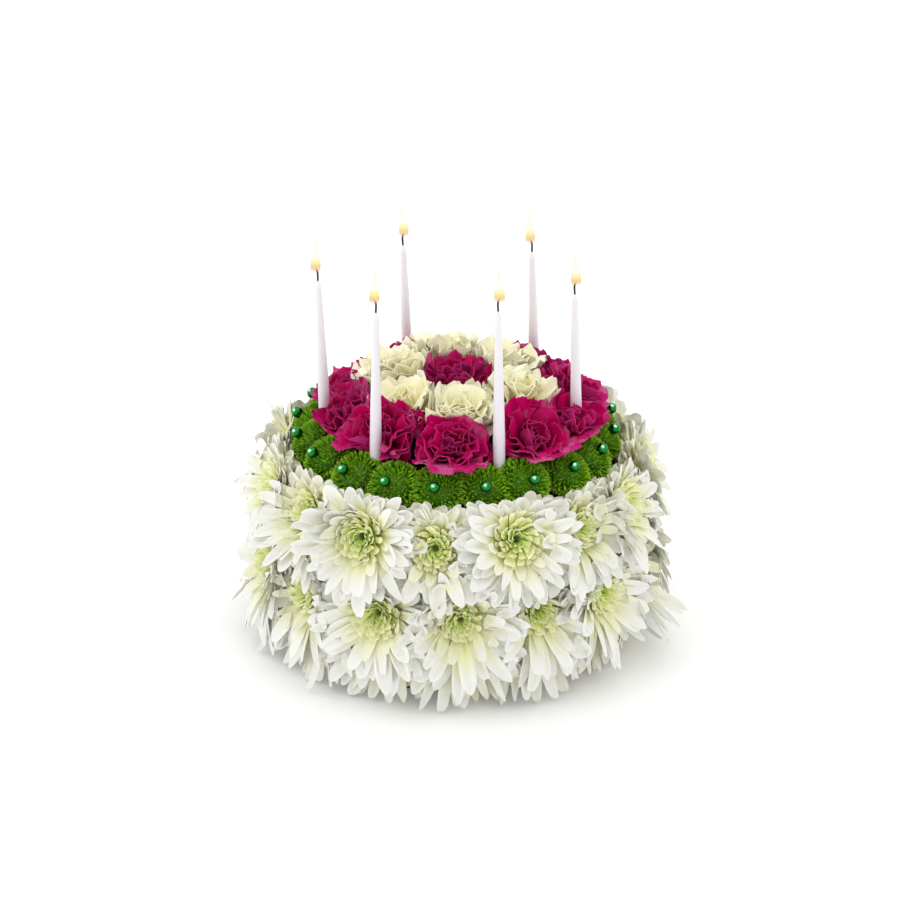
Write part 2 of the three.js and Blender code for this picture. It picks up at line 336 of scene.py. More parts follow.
@dataclass
class Growth:
    """How each copy of a petal grows: every array holds one row or value for each copy.

    Attributes:
        foot: Where it is attached.
        out: The way that it spreads.
        up: The flower's axis, square to out.
        length: How long it is.
        width: Half its width.
        thick: Half its thickness.
        rise: How steeply it leaves its foot, in radians above out.
        curl: How far it turns towards the axis by its tip, in radians.
        bend: Where along it the curl comes: above 1 is late.
        cup: How far its edges lift, as a share of half its width.
        rib: How far two ridges stand up either side of its middle, as a share of half its width.
        twist: How far it turns about its own length by its tip, in radians.
        sway: How far its tip strays to one side.
        point: How far its tip's middle stands forward of its corners, as a share of its length.
        tooth: How deep its rim is toothed, as a share of its length.
        ruffle: How far its rim waves.
        waves: How many half waves there are across it.
        phase: Where the waves start.
        gather: How far the waves draw it together, as a share of its width.
        slim: How far it narrows past its middle, as a share of its width.
        tone: A draw from 0 to 1 that its colour strays by.
        ripe: 0 at the flower's heart to 1 at its outermost petals.
    """

    foot: Array
    out: Array
    up: Array
    length: Array
    width: Array
    thick: Array
    rise: Array
    curl: Array
    bend: Array
    cup: Array
    rib: Array
    twist: Array
    sway: Array
    point: Array
    tooth: Array
    ruffle: Array
    waves: Array
    phase: Array
    gather: Array
    slim: Array
    tone: Array
    ripe: Array

    def kept(self, these: Array) -> "Growth":
        """Keeps some of the copies: one truth value for each."""
        return Growth(**{part.name: getattr(self, part.name)[these] for part in fields(self)})

    def centre_lines(self, along: Array) -> tuple[Array, Array, Array]:
        """Follows each copy's middle from its foot.

        Args:
            along: Where on it, as shares of its length.

        Returns:
            The distance out, the distance up and the heading's angle, a row for each copy.
        """
        fine = np.linspace(0.0, 1.0, BEND_STEPS + 1)
        angle = self.rise[:, None] + self.curl[:, None] * fine ** self.bend[:, None]
        middle = (angle[:, 1:] + angle[:, :-1]) / 2
        zero = np.zeros((len(angle), 1))
        out = np.hstack([zero, np.cumsum(np.cos(middle), axis=1)]) / BEND_STEPS
        up = np.hstack([zero, np.cumsum(np.sin(middle), axis=1)]) / BEND_STEPS
        place = np.clip(along * BEND_STEPS, 0, BEND_STEPS - 0.001)
        left = place.astype(int)
        part = place - left
        length = self.length[:, None]
        return (
            (out[:, left] * (1 - part) + out[:, left + 1] * part) * length,
            (up[:, left] * (1 - part) + up[:, left + 1] * part) * length,
            self.rise[:, None] + self.curl[:, None] * along ** self.bend[:, None],
        )

    def shape(self, stock: Stock, columns: int = 12) -> Array:
        """Bends a stock into every copy.

        Args:
            stock: The petal stock.
            columns: How many cells its rim has, which the teeth follow.

        Returns:
            The points, copies x stock points x 3.
        """
        along, across = stock.along, stock.across
        side, depth = stock.points[:, 1], stock.points[:, 2]
        out, up, heading = self.centre_lines(along)

        width = self.width[:, None] * (1 - self.gather[:, None] * along)
        width = width * (1 - self.slim[:, None] * smooth_step(along, 0.4, 1.0))
        swell = self.ruffle[:, None] * along**1.6
        turn = self.waves[:, None] * math.pi * across + self.phase[:, None]
        lift = self.cup[:, None] * self.width[:, None] * side**2 + swell * np.sin(turn)
        lift += RIPPLE_HEIGHT * swell * along**2 * np.sin(RIPPLE_PACE * turn + RIPPLE_START)
        ridges = -np.cos(math.pi * across / RIDGE_ACROSS) * smooth_step(along, 0.0, 0.35)
        ridges = ridges * (1 - smooth_step(along, 0.8, 1.0))
        lift += self.rib[:, None] * self.width[:, None] * ridges
        lateral = width * side + self.sway[:, None] * along**2
        slope = 2 * self.cup[:, None] * side + swell * self.waves[:, None] * math.pi * np.cos(turn) / width
        square = 1 / np.sqrt(1 + slope**2)
        lateral = lateral - slope * square * depth * self.thick[:, None]
        lift = lift + square * depth * self.thick[:, None]
        twist = self.twist[:, None] * along
        lateral, lift = (
            lateral * np.cos(twist) - lift * np.sin(twist),
            lateral * np.sin(twist) + lift * np.cos(twist),
        )
        forward = self.point[:, None] * (1 - across**4) * smooth_step(along, 0.5, 1.0)
        teeth = np.cos(math.pi * columns * (across + 1) / 2) * smooth_step(along, 0.93, 1.0)
        forward = forward + self.tooth[:, None] * teeth
        forward = forward * self.length[:, None]
        out = out + np.cos(heading) * forward - np.sin(heading) * lift
        up = up + np.sin(heading) * forward + np.cos(heading) * lift
        sideways = np.cross(self.up, self.out)
        return (
            self.foot[:, None, :]
            + out[:, :, None] * self.out[:, None, :]
            + up[:, :, None] * self.up[:, None, :]
            + lateral[:, :, None] * sideways[:, None, :]
        )


@dataclass(frozen=True)
class FlowerFrame:
    """The middle of a flower's face, the way that it looks, and the ways right and up across it."""

    face: Array
    axis: Array
    right: Array
    up: Array

    @classmethod
    def facing(cls, azimuth: float, radius: float, height: float, elevation: float) -> "FlowerFrame":
        """Puts a face at a place round the cake.

        Args:
            azimuth: Its azimuth.
            radius: Its distance from the cake's axis.
            height: Its height.
            elevation: How far above level it looks, in degrees.

        Returns:
            The frame.
        """
        lift = math.radians(elevation)
        axis = outward(azimuth) * math.cos(lift) + Z * math.sin(lift)
        right = outward(azimuth + 90)
        return cls(outward(azimuth) * radius + Z * height, axis, right, np.cross(axis, right))

    def spokes(self, turns: Array) -> Array:
        """Unit vectors across the face, at turns from its right towards its top."""
        return np.cos(turns)[:, None] * self.right + np.sin(turns)[:, None] * self.up

    def placed(self, points: Array) -> Array:
        """Puts points given right, up and out of the face into the cake."""
        return self.face + points[:, :1] * self.right + points[:, 1:2] * self.up + points[:, 2:] * self.axis


@dataclass(frozen=True)
class Whorl:
    """One round of petals or florets. Lengths are in metres and angles in degrees.

    The flowers give the first seven by their places: count, foot, sink, rise, curl, length, width.

    Attributes:
        count: How many there are.
        foot: How far their feet are from the flower's axis.
        sink: How far their feet lie behind its face.
        rise: How steeply they leave, above the face. This and the values down to slim are as in Growth.
        loose: How far they stray from the round's own shape.
        ripe: 0 at the flower's heart to 1 at its outermost petals.
    """

    count: int
    foot: float
    sink: float
    rise: float
    curl: float
    length: float
    width: float
    thick: float = 0.00025
    bend: float = 1.0
    cup: float = 0.2
    rib: float = 0.0
    point: float = 0.03
    tooth: float = 0.0
    ruffle: float = 0.0
    waves: float = 2.0
    gather: float = 0.0
    slim: float = 0.0
    loose: float = 1.0
    ripe: float = 1.0

    def grow(self, place: FlowerFrame, draws: np.random.Generator, spin: float) -> Growth:
        """Draws each petal of the round.

        Args:
            place: The flower's frame.
            draws: The flower's own random numbers.
            spin: The turn of the first petal, in radians.

        Returns:
            How the petals grow.
        """
        count, loose = self.count, self.loose
        jostled, wilful = 0.32 * loose, 0.09 * loose

        def about(value: float, spread: float) -> Array:
            """A value for each petal, up to spread either way."""
            return value + spread * loose * draws.uniform(-1, 1, count)

        turns = spin + 2 * math.pi * (np.arange(count) + jostled * draws.uniform(-1, 1, count)) / count
        spokes = place.spokes(turns)
        stray = (draws.uniform(0, 1, count) < wilful) * draws.uniform(-0.5, 1.0, count)
        return Growth(
            foot=place.face + spokes * self.foot - place.axis * about(self.sink, 0.0006)[:, None],
            out=spokes,
            up=np.tile(place.axis, (count, 1)),
            length=self.length * about(1.0, 0.11),
            width=self.width * about(1.0, 0.25) * (1 - 0.3 * np.abs(stray)),
            thick=np.full(count, self.thick),
            rise=np.radians(about(self.rise, 7.0) + 12 * stray),
            curl=np.radians(about(self.curl, 14.0) + 34 * stray),
            bend=np.full(count, self.bend),
            cup=about(self.cup, 0.14),
            rib=about(self.rib, self.rib * 0.6),
            twist=np.radians(about(0.0, 16.0)),
            sway=self.length * about(0.0, 0.09),
            point=about(self.point, 0.045),
            tooth=np.full(count, self.tooth),
            ruffle=self.ruffle * about(1.0, 0.35),
            waves=about(self.waves, 0.6),
            phase=draws.uniform(0, 2 * math.pi, count),
            gather=about(self.gather, self.gather * 0.3),
            slim=self.slim * draws.uniform(0, 1, count),
            tone=draws.uniform(0, 1, count),
            ripe=np.full(count, self.ripe),
        )


@dataclass
class Posy:
    """Gathers copies of stocks into one mesh, with the petals' own map and colour draws."""

    name: str
    points: list[Array] = field(default_factory=list)
    maps: list[Array] = field(default_factory=list)
    marks: list[Array] = field(default_factory=list)
    corners: list[Array] = field(default_factory=list)
    starts: list[Array] = field(default_factory=list)
    vertex_count: int = 0
    corner_count: int = 0

    def add(self, stock: Stock, points: Array, tone: Array, ripe: Array) -> None:
        """Adds copies of a petal stock.

        Args:
            stock: The stock.
            points: Its points in every copy.
            tone: Each copy's tone.
            ripe: Each copy's ripeness.
        """
        copies, size = points.shape[:2]
        self.points.append(points.reshape(-1, 3))
        self.maps.append(np.tile(np.stack([stock.along, stock.across / 2 + 0.5], 1), (copies, 1)))
        reverse = np.tile((stock.points[:, 2] < -1e-4).astype(float), copies)
        self.marks.append(np.stack([np.repeat(tone, size), np.repeat(ripe, size), reverse], 1))
        shift = np.arange(copies)[:, None]
        self.corners.append((stock.corners + self.vertex_count + shift * size).ravel())
        self.starts.append((stock.starts + self.corner_count + shift * len(stock.corners)).ravel())
        self.vertex_count += copies * size
        self.corner_count += copies * len(stock.corners)

    def add_core(self, stock: Stock, points: Array, along: float | Array = 0.0) -> None:
        """Adds one solid core.

        Args:
            stock: The core's stock.
            points: Its points in place.
            along: Which place along a petal its colour is taken from, for all of it or for each point.
        """
        size = len(points)
        self.points.append(points)
        self.maps.append(np.stack([np.broadcast_to(along, size), np.full(size, 0.5)], 1))
        self.marks.append(np.tile([0.5, 1.0, 0.0], (size, 1)))
        self.corners.append(stock.corners + self.vertex_count)
        self.starts.append(stock.starts + self.corner_count)
        self.vertex_count += size
        self.corner_count += len(stock.corners)

    def build(self, sharp: float = 60.0) -> Piece:
        """Makes the object.

        Args:
            sharp: Faces that meet at more than this, in degrees, meet in a crisp edge.

        Returns:
            The object, at the origin, its place in its mesh.
        """
        points, marks, corners = np.vstack(self.points), np.vstack(self.marks), np.concatenate(self.corners)
        mesh = bpy.data.meshes.new(self.name)
        mesh.vertices.add(len(points))
        mesh.vertices.foreach_set("co", points.astype(np.float32).ravel())
        mesh.loops.add(len(corners))
        mesh.loops.foreach_set("vertex_index", corners.astype(np.int32))
        starts = np.concatenate(self.starts)
        mesh.polygons.add(len(starts))
        mesh.polygons.foreach_set("loop_start", starts.astype(np.int32))
        mesh.update(calc_edges=True)
        uv = mesh.uv_layers.new(name="petal")
        uv.data.foreach_set("uv", np.vstack(self.maps)[corners].astype(np.float32).ravel())
        for column, name in enumerate(("tone", "ripe", "reverse")):
            layer = mesh.attributes.new(name, "FLOAT", "POINT")
            layer.data.foreach_set("value", marks[:, column].astype(np.float32))
        obj = put_in_scene(self.name, mesh)
        deselect_all()
        obj.select_set(True)
        bpy.context.view_layer.objects.active = obj
        bpy.ops.object.shade_smooth_by_angle(angle=math.radians(sharp))
        obj.select_set(False)
        return obj


def settle(obj: Piece, material: Material, slot: str, *nodes: str) -> None:
    """Gives a finished piece its material and its place in the frame.

    Args:
        obj: The piece.
        material: Its finish.
        slot: The record's material slot. It is not used.
        nodes: The solids that it stands for.
    """
    obj.data.materials.clear()
    obj.data.materials.append(material)
    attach(obj, "root")
    if nodes:
        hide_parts(*nodes)
    log.info("%s: %d faces", obj.name, len(obj.data.polygons))


# ---- finishes ----


class Wiring:
    """Lays out and joins the nodes of one node tree."""

    def __init__(self, tree: NodeTree) -> None:
        """Starts on a tree, emptied.

        Args:
            tree: The tree.
        """
        self.tree = tree
        tree.nodes.clear()

    def put(self, kind: str, **settings: object) -> Node:
        """Adds a node.

        Args:
            kind: Its type.
            settings: Its properties.

        Returns:
            The node.
        """
        node = self.tree.nodes.new(kind)
        for name, value in settings.items():
            setattr(node, name, value)
        return node

    def feed(self, socket: Socket, value: object) -> None:
        """Joins another node's socket to this one, or sets its value."""
        if isinstance(value, Socket):
            self.tree.links.new(value, socket)
        elif isinstance(value, tuple) and len(value) == 3 and socket.type == "RGBA":
            socket.default_value = (*value, 1.0)
        else:
            socket.default_value = value

    def give(self, node: Node, values: dict[str, object]) -> None:
        """Joins or sets a node's inputs, by their names."""
        for name, value in values.items():
            self.feed(node.inputs[name], value)

    def math(self, operation: str, first: object, second: object) -> Socket:
        """Adds a Math node and gives its value."""
        node = self.put("ShaderNodeMath", operation=operation)
        self.feed(node.inputs[0], first)
        self.feed(node.inputs[1], second)
        return node.outputs[0]

    def vector(self, operation: str, first: object, second: object = (0.0, 0.0, 0.0)) -> Socket:
        """Adds a Vector Math node and gives its vector."""
        node = self.put("ShaderNodeVectorMath", operation=operation)
        self.feed(node.inputs[0], first)
        self.feed(node.inputs[1], second)
        return node.outputs[0]

    def ease(
        self, value: object, start: object, end: object, low: float = 0.0, high: float = 1.0
    ) -> Socket:
        """Adds a Map Range node that eases from low at start to high at end."""
        node = self.put("ShaderNodeMapRange", interpolation_type="SMOOTHSTEP")
        for socket, given in zip(node.inputs, (value, start, end, low, high)):
            self.feed(socket, given)
        return node.outputs[0]

    def mix(self, share: object, first: object, second: object, blend: str = "MIX") -> Socket:
        """Adds a Mix node for colours and gives its result."""
        node = self.put("ShaderNodeMix", data_type="RGBA", blend_type=blend, clamp_factor=True)
        self.feed(node.inputs[0], share)
        self.feed(node.inputs[6], first)
        self.feed(node.inputs[7], second)
        return node.outputs[2]

    def noise(self, vector: object, scale: float, detail: float = 2.0) -> Socket:
        """Adds a Noise Texture and gives its value."""
        node = self.put("ShaderNodeTexNoise")
        self.feed(node.inputs["Vector"], vector)
        node.inputs["Scale"].default_value = scale
        node.inputs["Detail"].default_value = detail
        return node.outputs["Fac"]

    def mark(self, name: str) -> Socket:
        """Reads one of the mesh's own values."""
        return self.put("ShaderNodeAttribute", attribute_name=name).outputs["Fac"]

    def petal_map(self) -> tuple[Socket, Socket]:
        """Reads how far along and across its petal a point is."""
        node = self.put("ShaderNodeSeparateXYZ")
        self.feed(node.inputs[0], self.put("ShaderNodeUVMap", uv_map="petal").outputs[0])
        return node.outputs[0], node.outputs[1]

    def vein(self, count: object) -> Socket:
        """Noise drawn out along the petal, so many waves across it."""
        along, across = self.petal_map()
        lay = self.put("ShaderNodeCombineXYZ")
        self.feed(lay.inputs[0], self.math("MULTIPLY", along, 1.3))
        self.feed(lay.inputs[1], self.math("MULTIPLY", across, count))
        self.feed(lay.inputs[2], self.math("MULTIPLY", self.mark("tone"), 41.0))
        return self.noise(lay.outputs[0], 1.0, 3.0)

    def place(self) -> Socket:
        """Reads where on the cake a point is."""
        return self.put("ShaderNodeTexCoord").outputs["Object"]

    def height(self) -> Socket:
        """Reads how high on the cake a point is."""
        split = self.put("ShaderNodeSeparateXYZ")
        self.feed(split.inputs[0], self.place())
        return split.outputs[2]

    def off_axis(self) -> Socket:
        """Reads how far off the cake's axis a point is, as a level vector."""
        return self.vector("MULTIPLY", self.place(), (1.0, 1.0, 0.0))

    def bump(self, height: Socket, strength: float, distance: float) -> Socket:
        """Adds a Bump node.

        Args:
            height: The relief.
            strength: How much of it shows.
            distance: Its height, in metres.

        Returns:
            The normal.
        """
        node = self.put("ShaderNodeBump")
        node.inputs["Strength"].default_value = strength
        node.inputs["Distance"].default_value = distance
        self.feed(node.inputs["Height"], height)
        return node.outputs[0]


def new_material(name: str) -> tuple[Material, Wiring, Node]:
    """Starts a material on a Principled shader.

    Args:
        name: Its name.

    Returns:
        The material, its wiring, and the shader.
    """
    material = bpy.data.materials.new(name)
    material.use_nodes = True
    wiring = Wiring(material.node_tree)
    shader = wiring.put("ShaderNodeBsdfPrincipled")
    wiring.feed(wiring.put("ShaderNodeOutputMaterial").inputs["Surface"], shader.outputs[0])
    return material, wiring, shader


# The values of a petal's finish that the petal_tone group takes: colours, then plain numbers.
PETAL_COLOURS = ("heart", "foot", "middle", "tip", "rim", "reverse", "flush", "tucked")
PETAL_NUMBERS = (
    "foot_end", "tip_start", "rim_share", "reverse_share", "heart_share", "flush_share", "tucked_share",
    "stray", "veins", "streak",
)
# How fine the mottling and the flushed patches are, in waves a metre.
MOTTLING = 320.0
PATCHES = 75.0
# Where the painted shade on the tucked-in parts sets in and where it is full: nearer to the axis than this,
# and lower than this.
PAINTED_SHADE_REACH = (0.106, 0.088)
PAINTED_SHADE_HEIGHT = (0.122, 0.1)
# How high a petal's veins stand.
VEIN_HEIGHT = 0.0006


def socket_name(name: str) -> str:
    """What a group's socket is called for a finish's value, such as Foot End for foot_end."""
    return name.replace("_", " ").title()


class Effect:
    """The effects that several finishes share, each a node group made the first time that it is wanted."""

    @staticmethod
    def petal_tone() -> NodeTree:
        """Colour that runs from a petal's foot to its tip, strays from petal to petal, pales on its back, and
        has painted shade where it is tucked in close to the cake's side.

        Returns:
            The group.
        """
        if "petal_tone" in bpy.data.node_groups:
            return bpy.data.node_groups["petal_tone"]
        group = bpy.data.node_groups.new("petal_tone", "ShaderNodeTree")
        for name in PETAL_COLOURS:
            group.interface.new_socket(socket_name(name), in_out="INPUT", socket_type="NodeSocketColor")
        for name in PETAL_NUMBERS:
            group.interface.new_socket(socket_name(name), in_out="INPUT", socket_type="NodeSocketFloat")
        group.interface.new_socket("Color", in_out="OUTPUT", socket_type="NodeSocketColor")
        wiring = Wiring(group)
        given = wiring.put("NodeGroupInput").outputs
        along, _ = wiring.petal_map()
        tone, ripe, reverse = wiring.mark("tone"), wiring.mark("ripe"), wiring.mark("reverse")
        cloud = wiring.noise(wiring.place(), MOTTLING)
        wander = wiring.math("MULTIPLY", wiring.math("SUBTRACT", cloud, 0.5), 0.22)
        grain = wiring.math("SUBTRACT", wiring.vein(given["Veins"]), 0.5)
        streak = wiring.math("MULTIPLY", grain, given["Streak"])
        run = wiring.math("ADD", wiring.math("ADD", along, wander), streak)
        colour = wiring.mix(wiring.ease(run, 0.0, given["Foot End"]), given["Foot"], given["Middle"])
        colour = wiring.mix(wiring.ease(run, given["Foot End"], given["Tip Start"]), colour, given["Tip"])
        unripe = wiring.math("MULTIPLY", wiring.ease(ripe, 1.0, 0.0), given["Heart Share"])
        colour = wiring.mix(unripe, colour, given["Heart"])
        edge = wiring.math("MULTIPLY", wiring.ease(along, 0.93, 1.0), given["Rim Share"])
        colour = wiring.mix(edge, colour, given["Rim"])
        back = wiring.math("MULTIPLY", reverse, given["Reverse Share"])
        back = wiring.math("MULTIPLY", back, wiring.ease(along, 0.2, 0.7))
        colour = wiring.mix(back, colour, given["Reverse"])
        patch = wiring.ease(wiring.noise(wiring.place(), PATCHES), 0.5, 0.6)
        open_ = wiring.math("MULTIPLY", wiring.ease(ripe, 0.4, 1.0), wiring.ease(run, 0.35, 0.85))
        flush = wiring.math("MULTIPLY", wiring.math("MULTIPLY", patch, open_), given["Flush Share"])
        colour = wiring.mix(flush, colour, given["Flush"])
        # Painted shade: a warm, darker tint is multiplied in where petals lie low and close to the cake's
        # side.
        reach = wiring.put("ShaderNodeVectorMath", operation="LENGTH")
        wiring.feed(reach.inputs[0], wiring.off_axis())
        under = wiring.math("MULTIPLY", wiring.ease(wiring.height(), *PAINTED_SHADE_HEIGHT), given["Tucked Share"])
        tucked = wiring.math("MULTIPLY", wiring.ease(reach.outputs["Value"], *PAINTED_SHADE_REACH), under)
        colour = wiring.mix(tucked, colour, given["Tucked"], "MULTIPLY")
        level = wiring.math("ADD", wiring.math("SUBTRACT", tone, 0.5), wiring.math("SUBTRACT", cloud, 0.5))
        level = wiring.math("ADD", 1.0, wiring.math("MULTIPLY", level, given["Stray"]))
        shade = wiring.put("ShaderNodeVectorMath", operation="SCALE")
        wiring.feed(shade.inputs[0], colour)
        wiring.feed(shade.inputs["Scale"], level)
        wiring.feed(wiring.put("NodeGroupOutput").inputs[0], shade.outputs[0])
        return group

    @staticmethod
    def petal_veins() -> NodeTree:
        """Lengthwise veins that run from a petal's foot and fade at its rim.

        Returns:
            The group.
        """
        if "petal_veins" in bpy.data.node_groups:
            return bpy.data.node_groups["petal_veins"]
        group = bpy.data.node_groups.new("petal_veins", "ShaderNodeTree")
        group.interface.new_socket("Count", in_out="INPUT", socket_type="NodeSocketFloat")
        group.interface.new_socket("Height", in_out="OUTPUT", socket_type="NodeSocketFloat")
        wiring = Wiring(group)
        given = wiring.put("NodeGroupInput").outputs
        wiring.feed(wiring.put("NodeGroupOutput").inputs[0], wiring.vein(given["Count"]))
        return group

    @staticmethod
    def use(wiring: Wiring, group: NodeTree, **values: object) -> Socket:
        """Places a group in a material.

        Args:
            wiring: The material's wiring.
            group: The group.
            values: Its inputs, named as socket_name takes them.

        Returns:
            Its first output.
        """
        node = wiring.put("ShaderNodeGroup", node_tree=group)
        wiring.give(node, {socket_name(name): value for name, value in values.items()})
        return node.outputs[0]


@dataclass(frozen=True)
class PetalFinish:
    """Living petal: its colours from foot to tip, its veins, and how light goes into it.

    Attributes:
        name: The material's name.
        heart: The colour of the innermost ones.
        foot: The colour at the foot.
        middle: The colour past foot_end.
        tip: The colour past tip_start.
        rim: The colour of the very edge.
        reverse: The colour of the back.
        foot_end: Where the foot's colour ends, along the petal.
        tip_start: Where the tip's colour is reached.
        rim_share: How much of the rim's colour shows, as with every share here.
        reverse_share: As much for the back.
        heart_share: As much for the innermost ones.
        flush: The colour of the patches that the open ones are flushed with.
        flush_share: Its share.
        tucked: The painted shade, a warm, darker tint multiplied into the parts that are tucked in close to
            the cake's side.
        tucked_share: The painted shade's share.
        stray: How far the colour strays in lightness.
        streak: How far its colours run along the veins.
        veins: How many veins there are across.
        relief: How strongly they show.
        roughness: How dull it is.
        depth: How much of the light goes in.
        gloss: How much it shines.
    """

    name: str
    heart: Colour
    foot: Colour
    middle: Colour
    tip: Colour
    rim: Colour
    reverse: Colour
    foot_end: float = 0.3
    tip_start: float = 0.6
    rim_share: float = 0.0
    reverse_share: float = 0.0
    heart_share: float = 0.0
    flush: Colour = (1.0, 1.0, 1.0)
    flush_share: float = 0.0
    tucked: Colour = (1.0, 1.0, 1.0)
    tucked_share: float = 0.0
    stray: float = 0.1
    streak: float = 0.3
    veins: float = 9.0
    relief: float = 0.4
    roughness: float = 0.55
    depth: float = 0.2
    gloss: float = 0.35

    def material(self) -> Material:
        """Makes the material."""
        material, wiring, shader = new_material(self.name)
        given = {name: getattr(self, name) for name in (*PETAL_COLOURS, *PETAL_NUMBERS)}
        colour = Effect.use(wiring, Effect.petal_tone(), **given)
        height = Effect.use(wiring, Effect.petal_veins(), count=self.veins)
        wiring.give(shader, {
            "Base Color": colour,
            "Normal": wiring.bump(height, self.relief, VEIN_HEIGHT),
            "Roughness": self.roughness,
            "Subsurface Weight": self.depth,
            "Subsurface Radius": (1.0, 1.0, 1.0),
            "Subsurface Scale": 0.001,
            "Specular IOR Level": self.gloss,
        })
        return material


WHITE_PETAL = PetalFinish(
    name="white_petal",
    heart=srgb(246, 248, 186),
    foot=srgb(208, 221, 96),
    middle=srgb(250, 249, 206),
    tip=srgb(244, 244, 239),
    rim=srgb(245, 245, 242),
    reverse=srgb(248, 247, 224),
    foot_end=0.32,
    tip_start=0.8,
    rim_share=0.4,
    reverse_share=0.3,
    heart_share=0.7,
    stray=0.04,
    veins=7.0,
    relief=0.6,
    depth=0.0,
    gloss=0.25,
    # Painted shade on the tucked-in parts: warm and darker.
    tucked=(0.99, 0.98, 0.68),
    tucked_share=0.9,
    streak=0.55,
)
MUM_HEART = PetalFinish(
    name="mum_heart",
    heart=srgb(212, 234, 112),
    foot=srgb(42, 86, 12),
    middle=srgb(246, 250, 160),
    tip=srgb(252, 252, 212),
    rim=srgb(252, 252, 228),
    reverse=srgb(240, 245, 170),
    foot_end=0.36,
    tip_start=0.86,
    rim_share=0.6,
    reverse_share=0.3,
    heart_share=0.85,
    stray=0.1,
    veins=4.0,
    relief=0.3,
    depth=0.0,
    gloss=0.25,
)
GREEN_POM = PetalFinish(
    name="green_pom",
    heart=srgb(124, 182, 20),
    foot=srgb(22, 50, 4),
    middle=srgb(94, 152, 12),
    tip=srgb(164, 214, 50),
    rim=srgb(190, 226, 84),
    reverse=srgb(96, 156, 22),
    foot_end=0.55,
    tip_start=0.9,
    rim_share=0.6,
    heart_share=0.8,
    stray=0.5,
    veins=3.0,
    relief=0.25,
    roughness=0.5,
    depth=0.1,
    gloss=0.2,
)
MAGENTA_PETAL = PetalFinish(
    name="magenta_petal",
    heart=srgb(146, 0, 48),
    foot=srgb(88, 0, 27),
    middle=srgb(160, 0, 55),
    tip=srgb(193, 0, 92),
    rim=srgb(214, 86, 158),
    reverse=srgb(198, 60, 142),
    foot_end=0.5,
    tip_start=0.85,
    rim_share=0.16,
    reverse_share=0.5,
    heart_share=0.75,
    flush=srgb(212, 100, 156),
    flush_share=0.7,
    stray=0.22,
    veins=16.0,
    relief=0.35,
    roughness=0.7,
    depth=0.05,
    gloss=0.04,
)
CREAM_PETAL = PetalFinish(
    name="cream_petal",
    heart=srgb(246, 240, 156),
    foot=srgb(226, 213, 92),
    middle=srgb(251, 243, 176),
    tip=srgb(253, 250, 226),
    rim=srgb(253, 252, 240),
    reverse=srgb(253, 248, 218),
    foot_end=0.45,
    tip_start=0.85,
    rim_share=0.3,
    reverse_share=0.5,
    heart_share=0.4,
    stray=0.06,
    veins=16.0,
    relief=0.35,
    roughness=0.6,
    depth=0.0,
    gloss=0.2,
)


@dataclass(frozen=True)
class PearlFinish:
    """The pins' heads: pearl green, with a painted highlight and painted light on the upper half where the
    surface faces the upper front, and painted shade on the lower half.

    Attributes:
        name: The material's name.
        deep: The colour of its lower half, painted shade.
        bright: The colour of its upper half, painted light.
        gleam: The colour of the painted highlight, a small pale spot.
        toward: Which way the painted highlight and the painted light face, apart from their turn out from the
            cake.
        splay: How far it turns out.
    """

    name: str = "pearl"
    deep: Colour = srgb(0, 44, 13)
    bright: Colour = srgb(18, 132, 50)
    gleam: Colour = srgb(196, 255, 206)
    toward: Triple = (-0.2, -0.45, 0.62)
    splay: float = 0.35

    def material(self) -> Material:
        """Makes the material."""
        material, wiring, shader = new_material(self.name)
        cloud = wiring.noise(wiring.place(), 900.0)
        out = wiring.vector("SCALE", wiring.vector("NORMALIZE", wiring.off_axis()))
        out.node.inputs["Scale"].default_value = self.splay
        way = wiring.vector("NORMALIZE", wiring.vector("ADD", out, self.toward))
        normal = wiring.put("ShaderNodeNewGeometry").outputs["Normal"]
        facing = wiring.put("ShaderNodeVectorMath", operation="DOT_PRODUCT")
        wiring.feed(facing.inputs[0], normal)
        wiring.feed(facing.inputs[1], way)
        turned = wiring.math("ADD", facing.outputs["Value"], wiring.math("MULTIPLY", cloud, 0.06))
        # Painted shade on the lower half, painted light on the upper half and a painted highlight spot, all
        # set by which way the surface faces.
        colour = wiring.mix(wiring.ease(turned, -0.3, 1.0), self.deep, self.bright)
        colour = wiring.mix(wiring.ease(turned, 0.955, 1.03), colour, self.gleam)
        wiring.give(shader, {
            "Base Color": colour,
            "Roughness": wiring.ease(cloud, 0.3, 0.7, 0.12, 0.2),
            "Metallic": 1.0,
            "Coat Weight": 0.3,
            "Coat Roughness": 0.08,
        })
        return material


@dataclass(frozen=True)
class WaxFinish:
    """Candle wax: white with a breath of lilac, duller and pinker towards its foot.

    Attributes:
        name: The material's name.
        clear: Its colour above clear_z.
        foot: Its colour below foot_z.
        foot_z: The height where the foot's colour starts to clear.
        clear_z: The height where it is clear.
    """

    name: str = "wax"
    clear: Colour = srgb(236, 233, 237)
    foot: Colour = srgb(231, 224, 230)
    foot_z: float = 0.125
    clear_z: float = 0.165

    def material(self) -> Material:
        """Makes the material."""
        material, wiring, shader = new_material(self.name)
        cloud = wiring.noise(wiring.place(), 140.0, 3.0)
        height = wiring.math("ADD", wiring.height(), wiring.math("MULTIPLY", cloud, 0.012))
        colour = wiring.mix(wiring.ease(height, self.foot_z, self.clear_z), self.foot, self.clear)
        wiring.give(shader, {
            "Base Color": colour,
            "Roughness": wiring.ease(cloud, 0.3, 0.7, 0.3, 0.42),
            "Normal": wiring.bump(wiring.noise(wiring.place(), 420.0), 0.15, 0.0004),
            "Subsurface Weight": 0.5,
            "Subsurface Radius": (1.0, 0.85, 0.85),
            "Subsurface Scale": 0.003,
        })
        return material


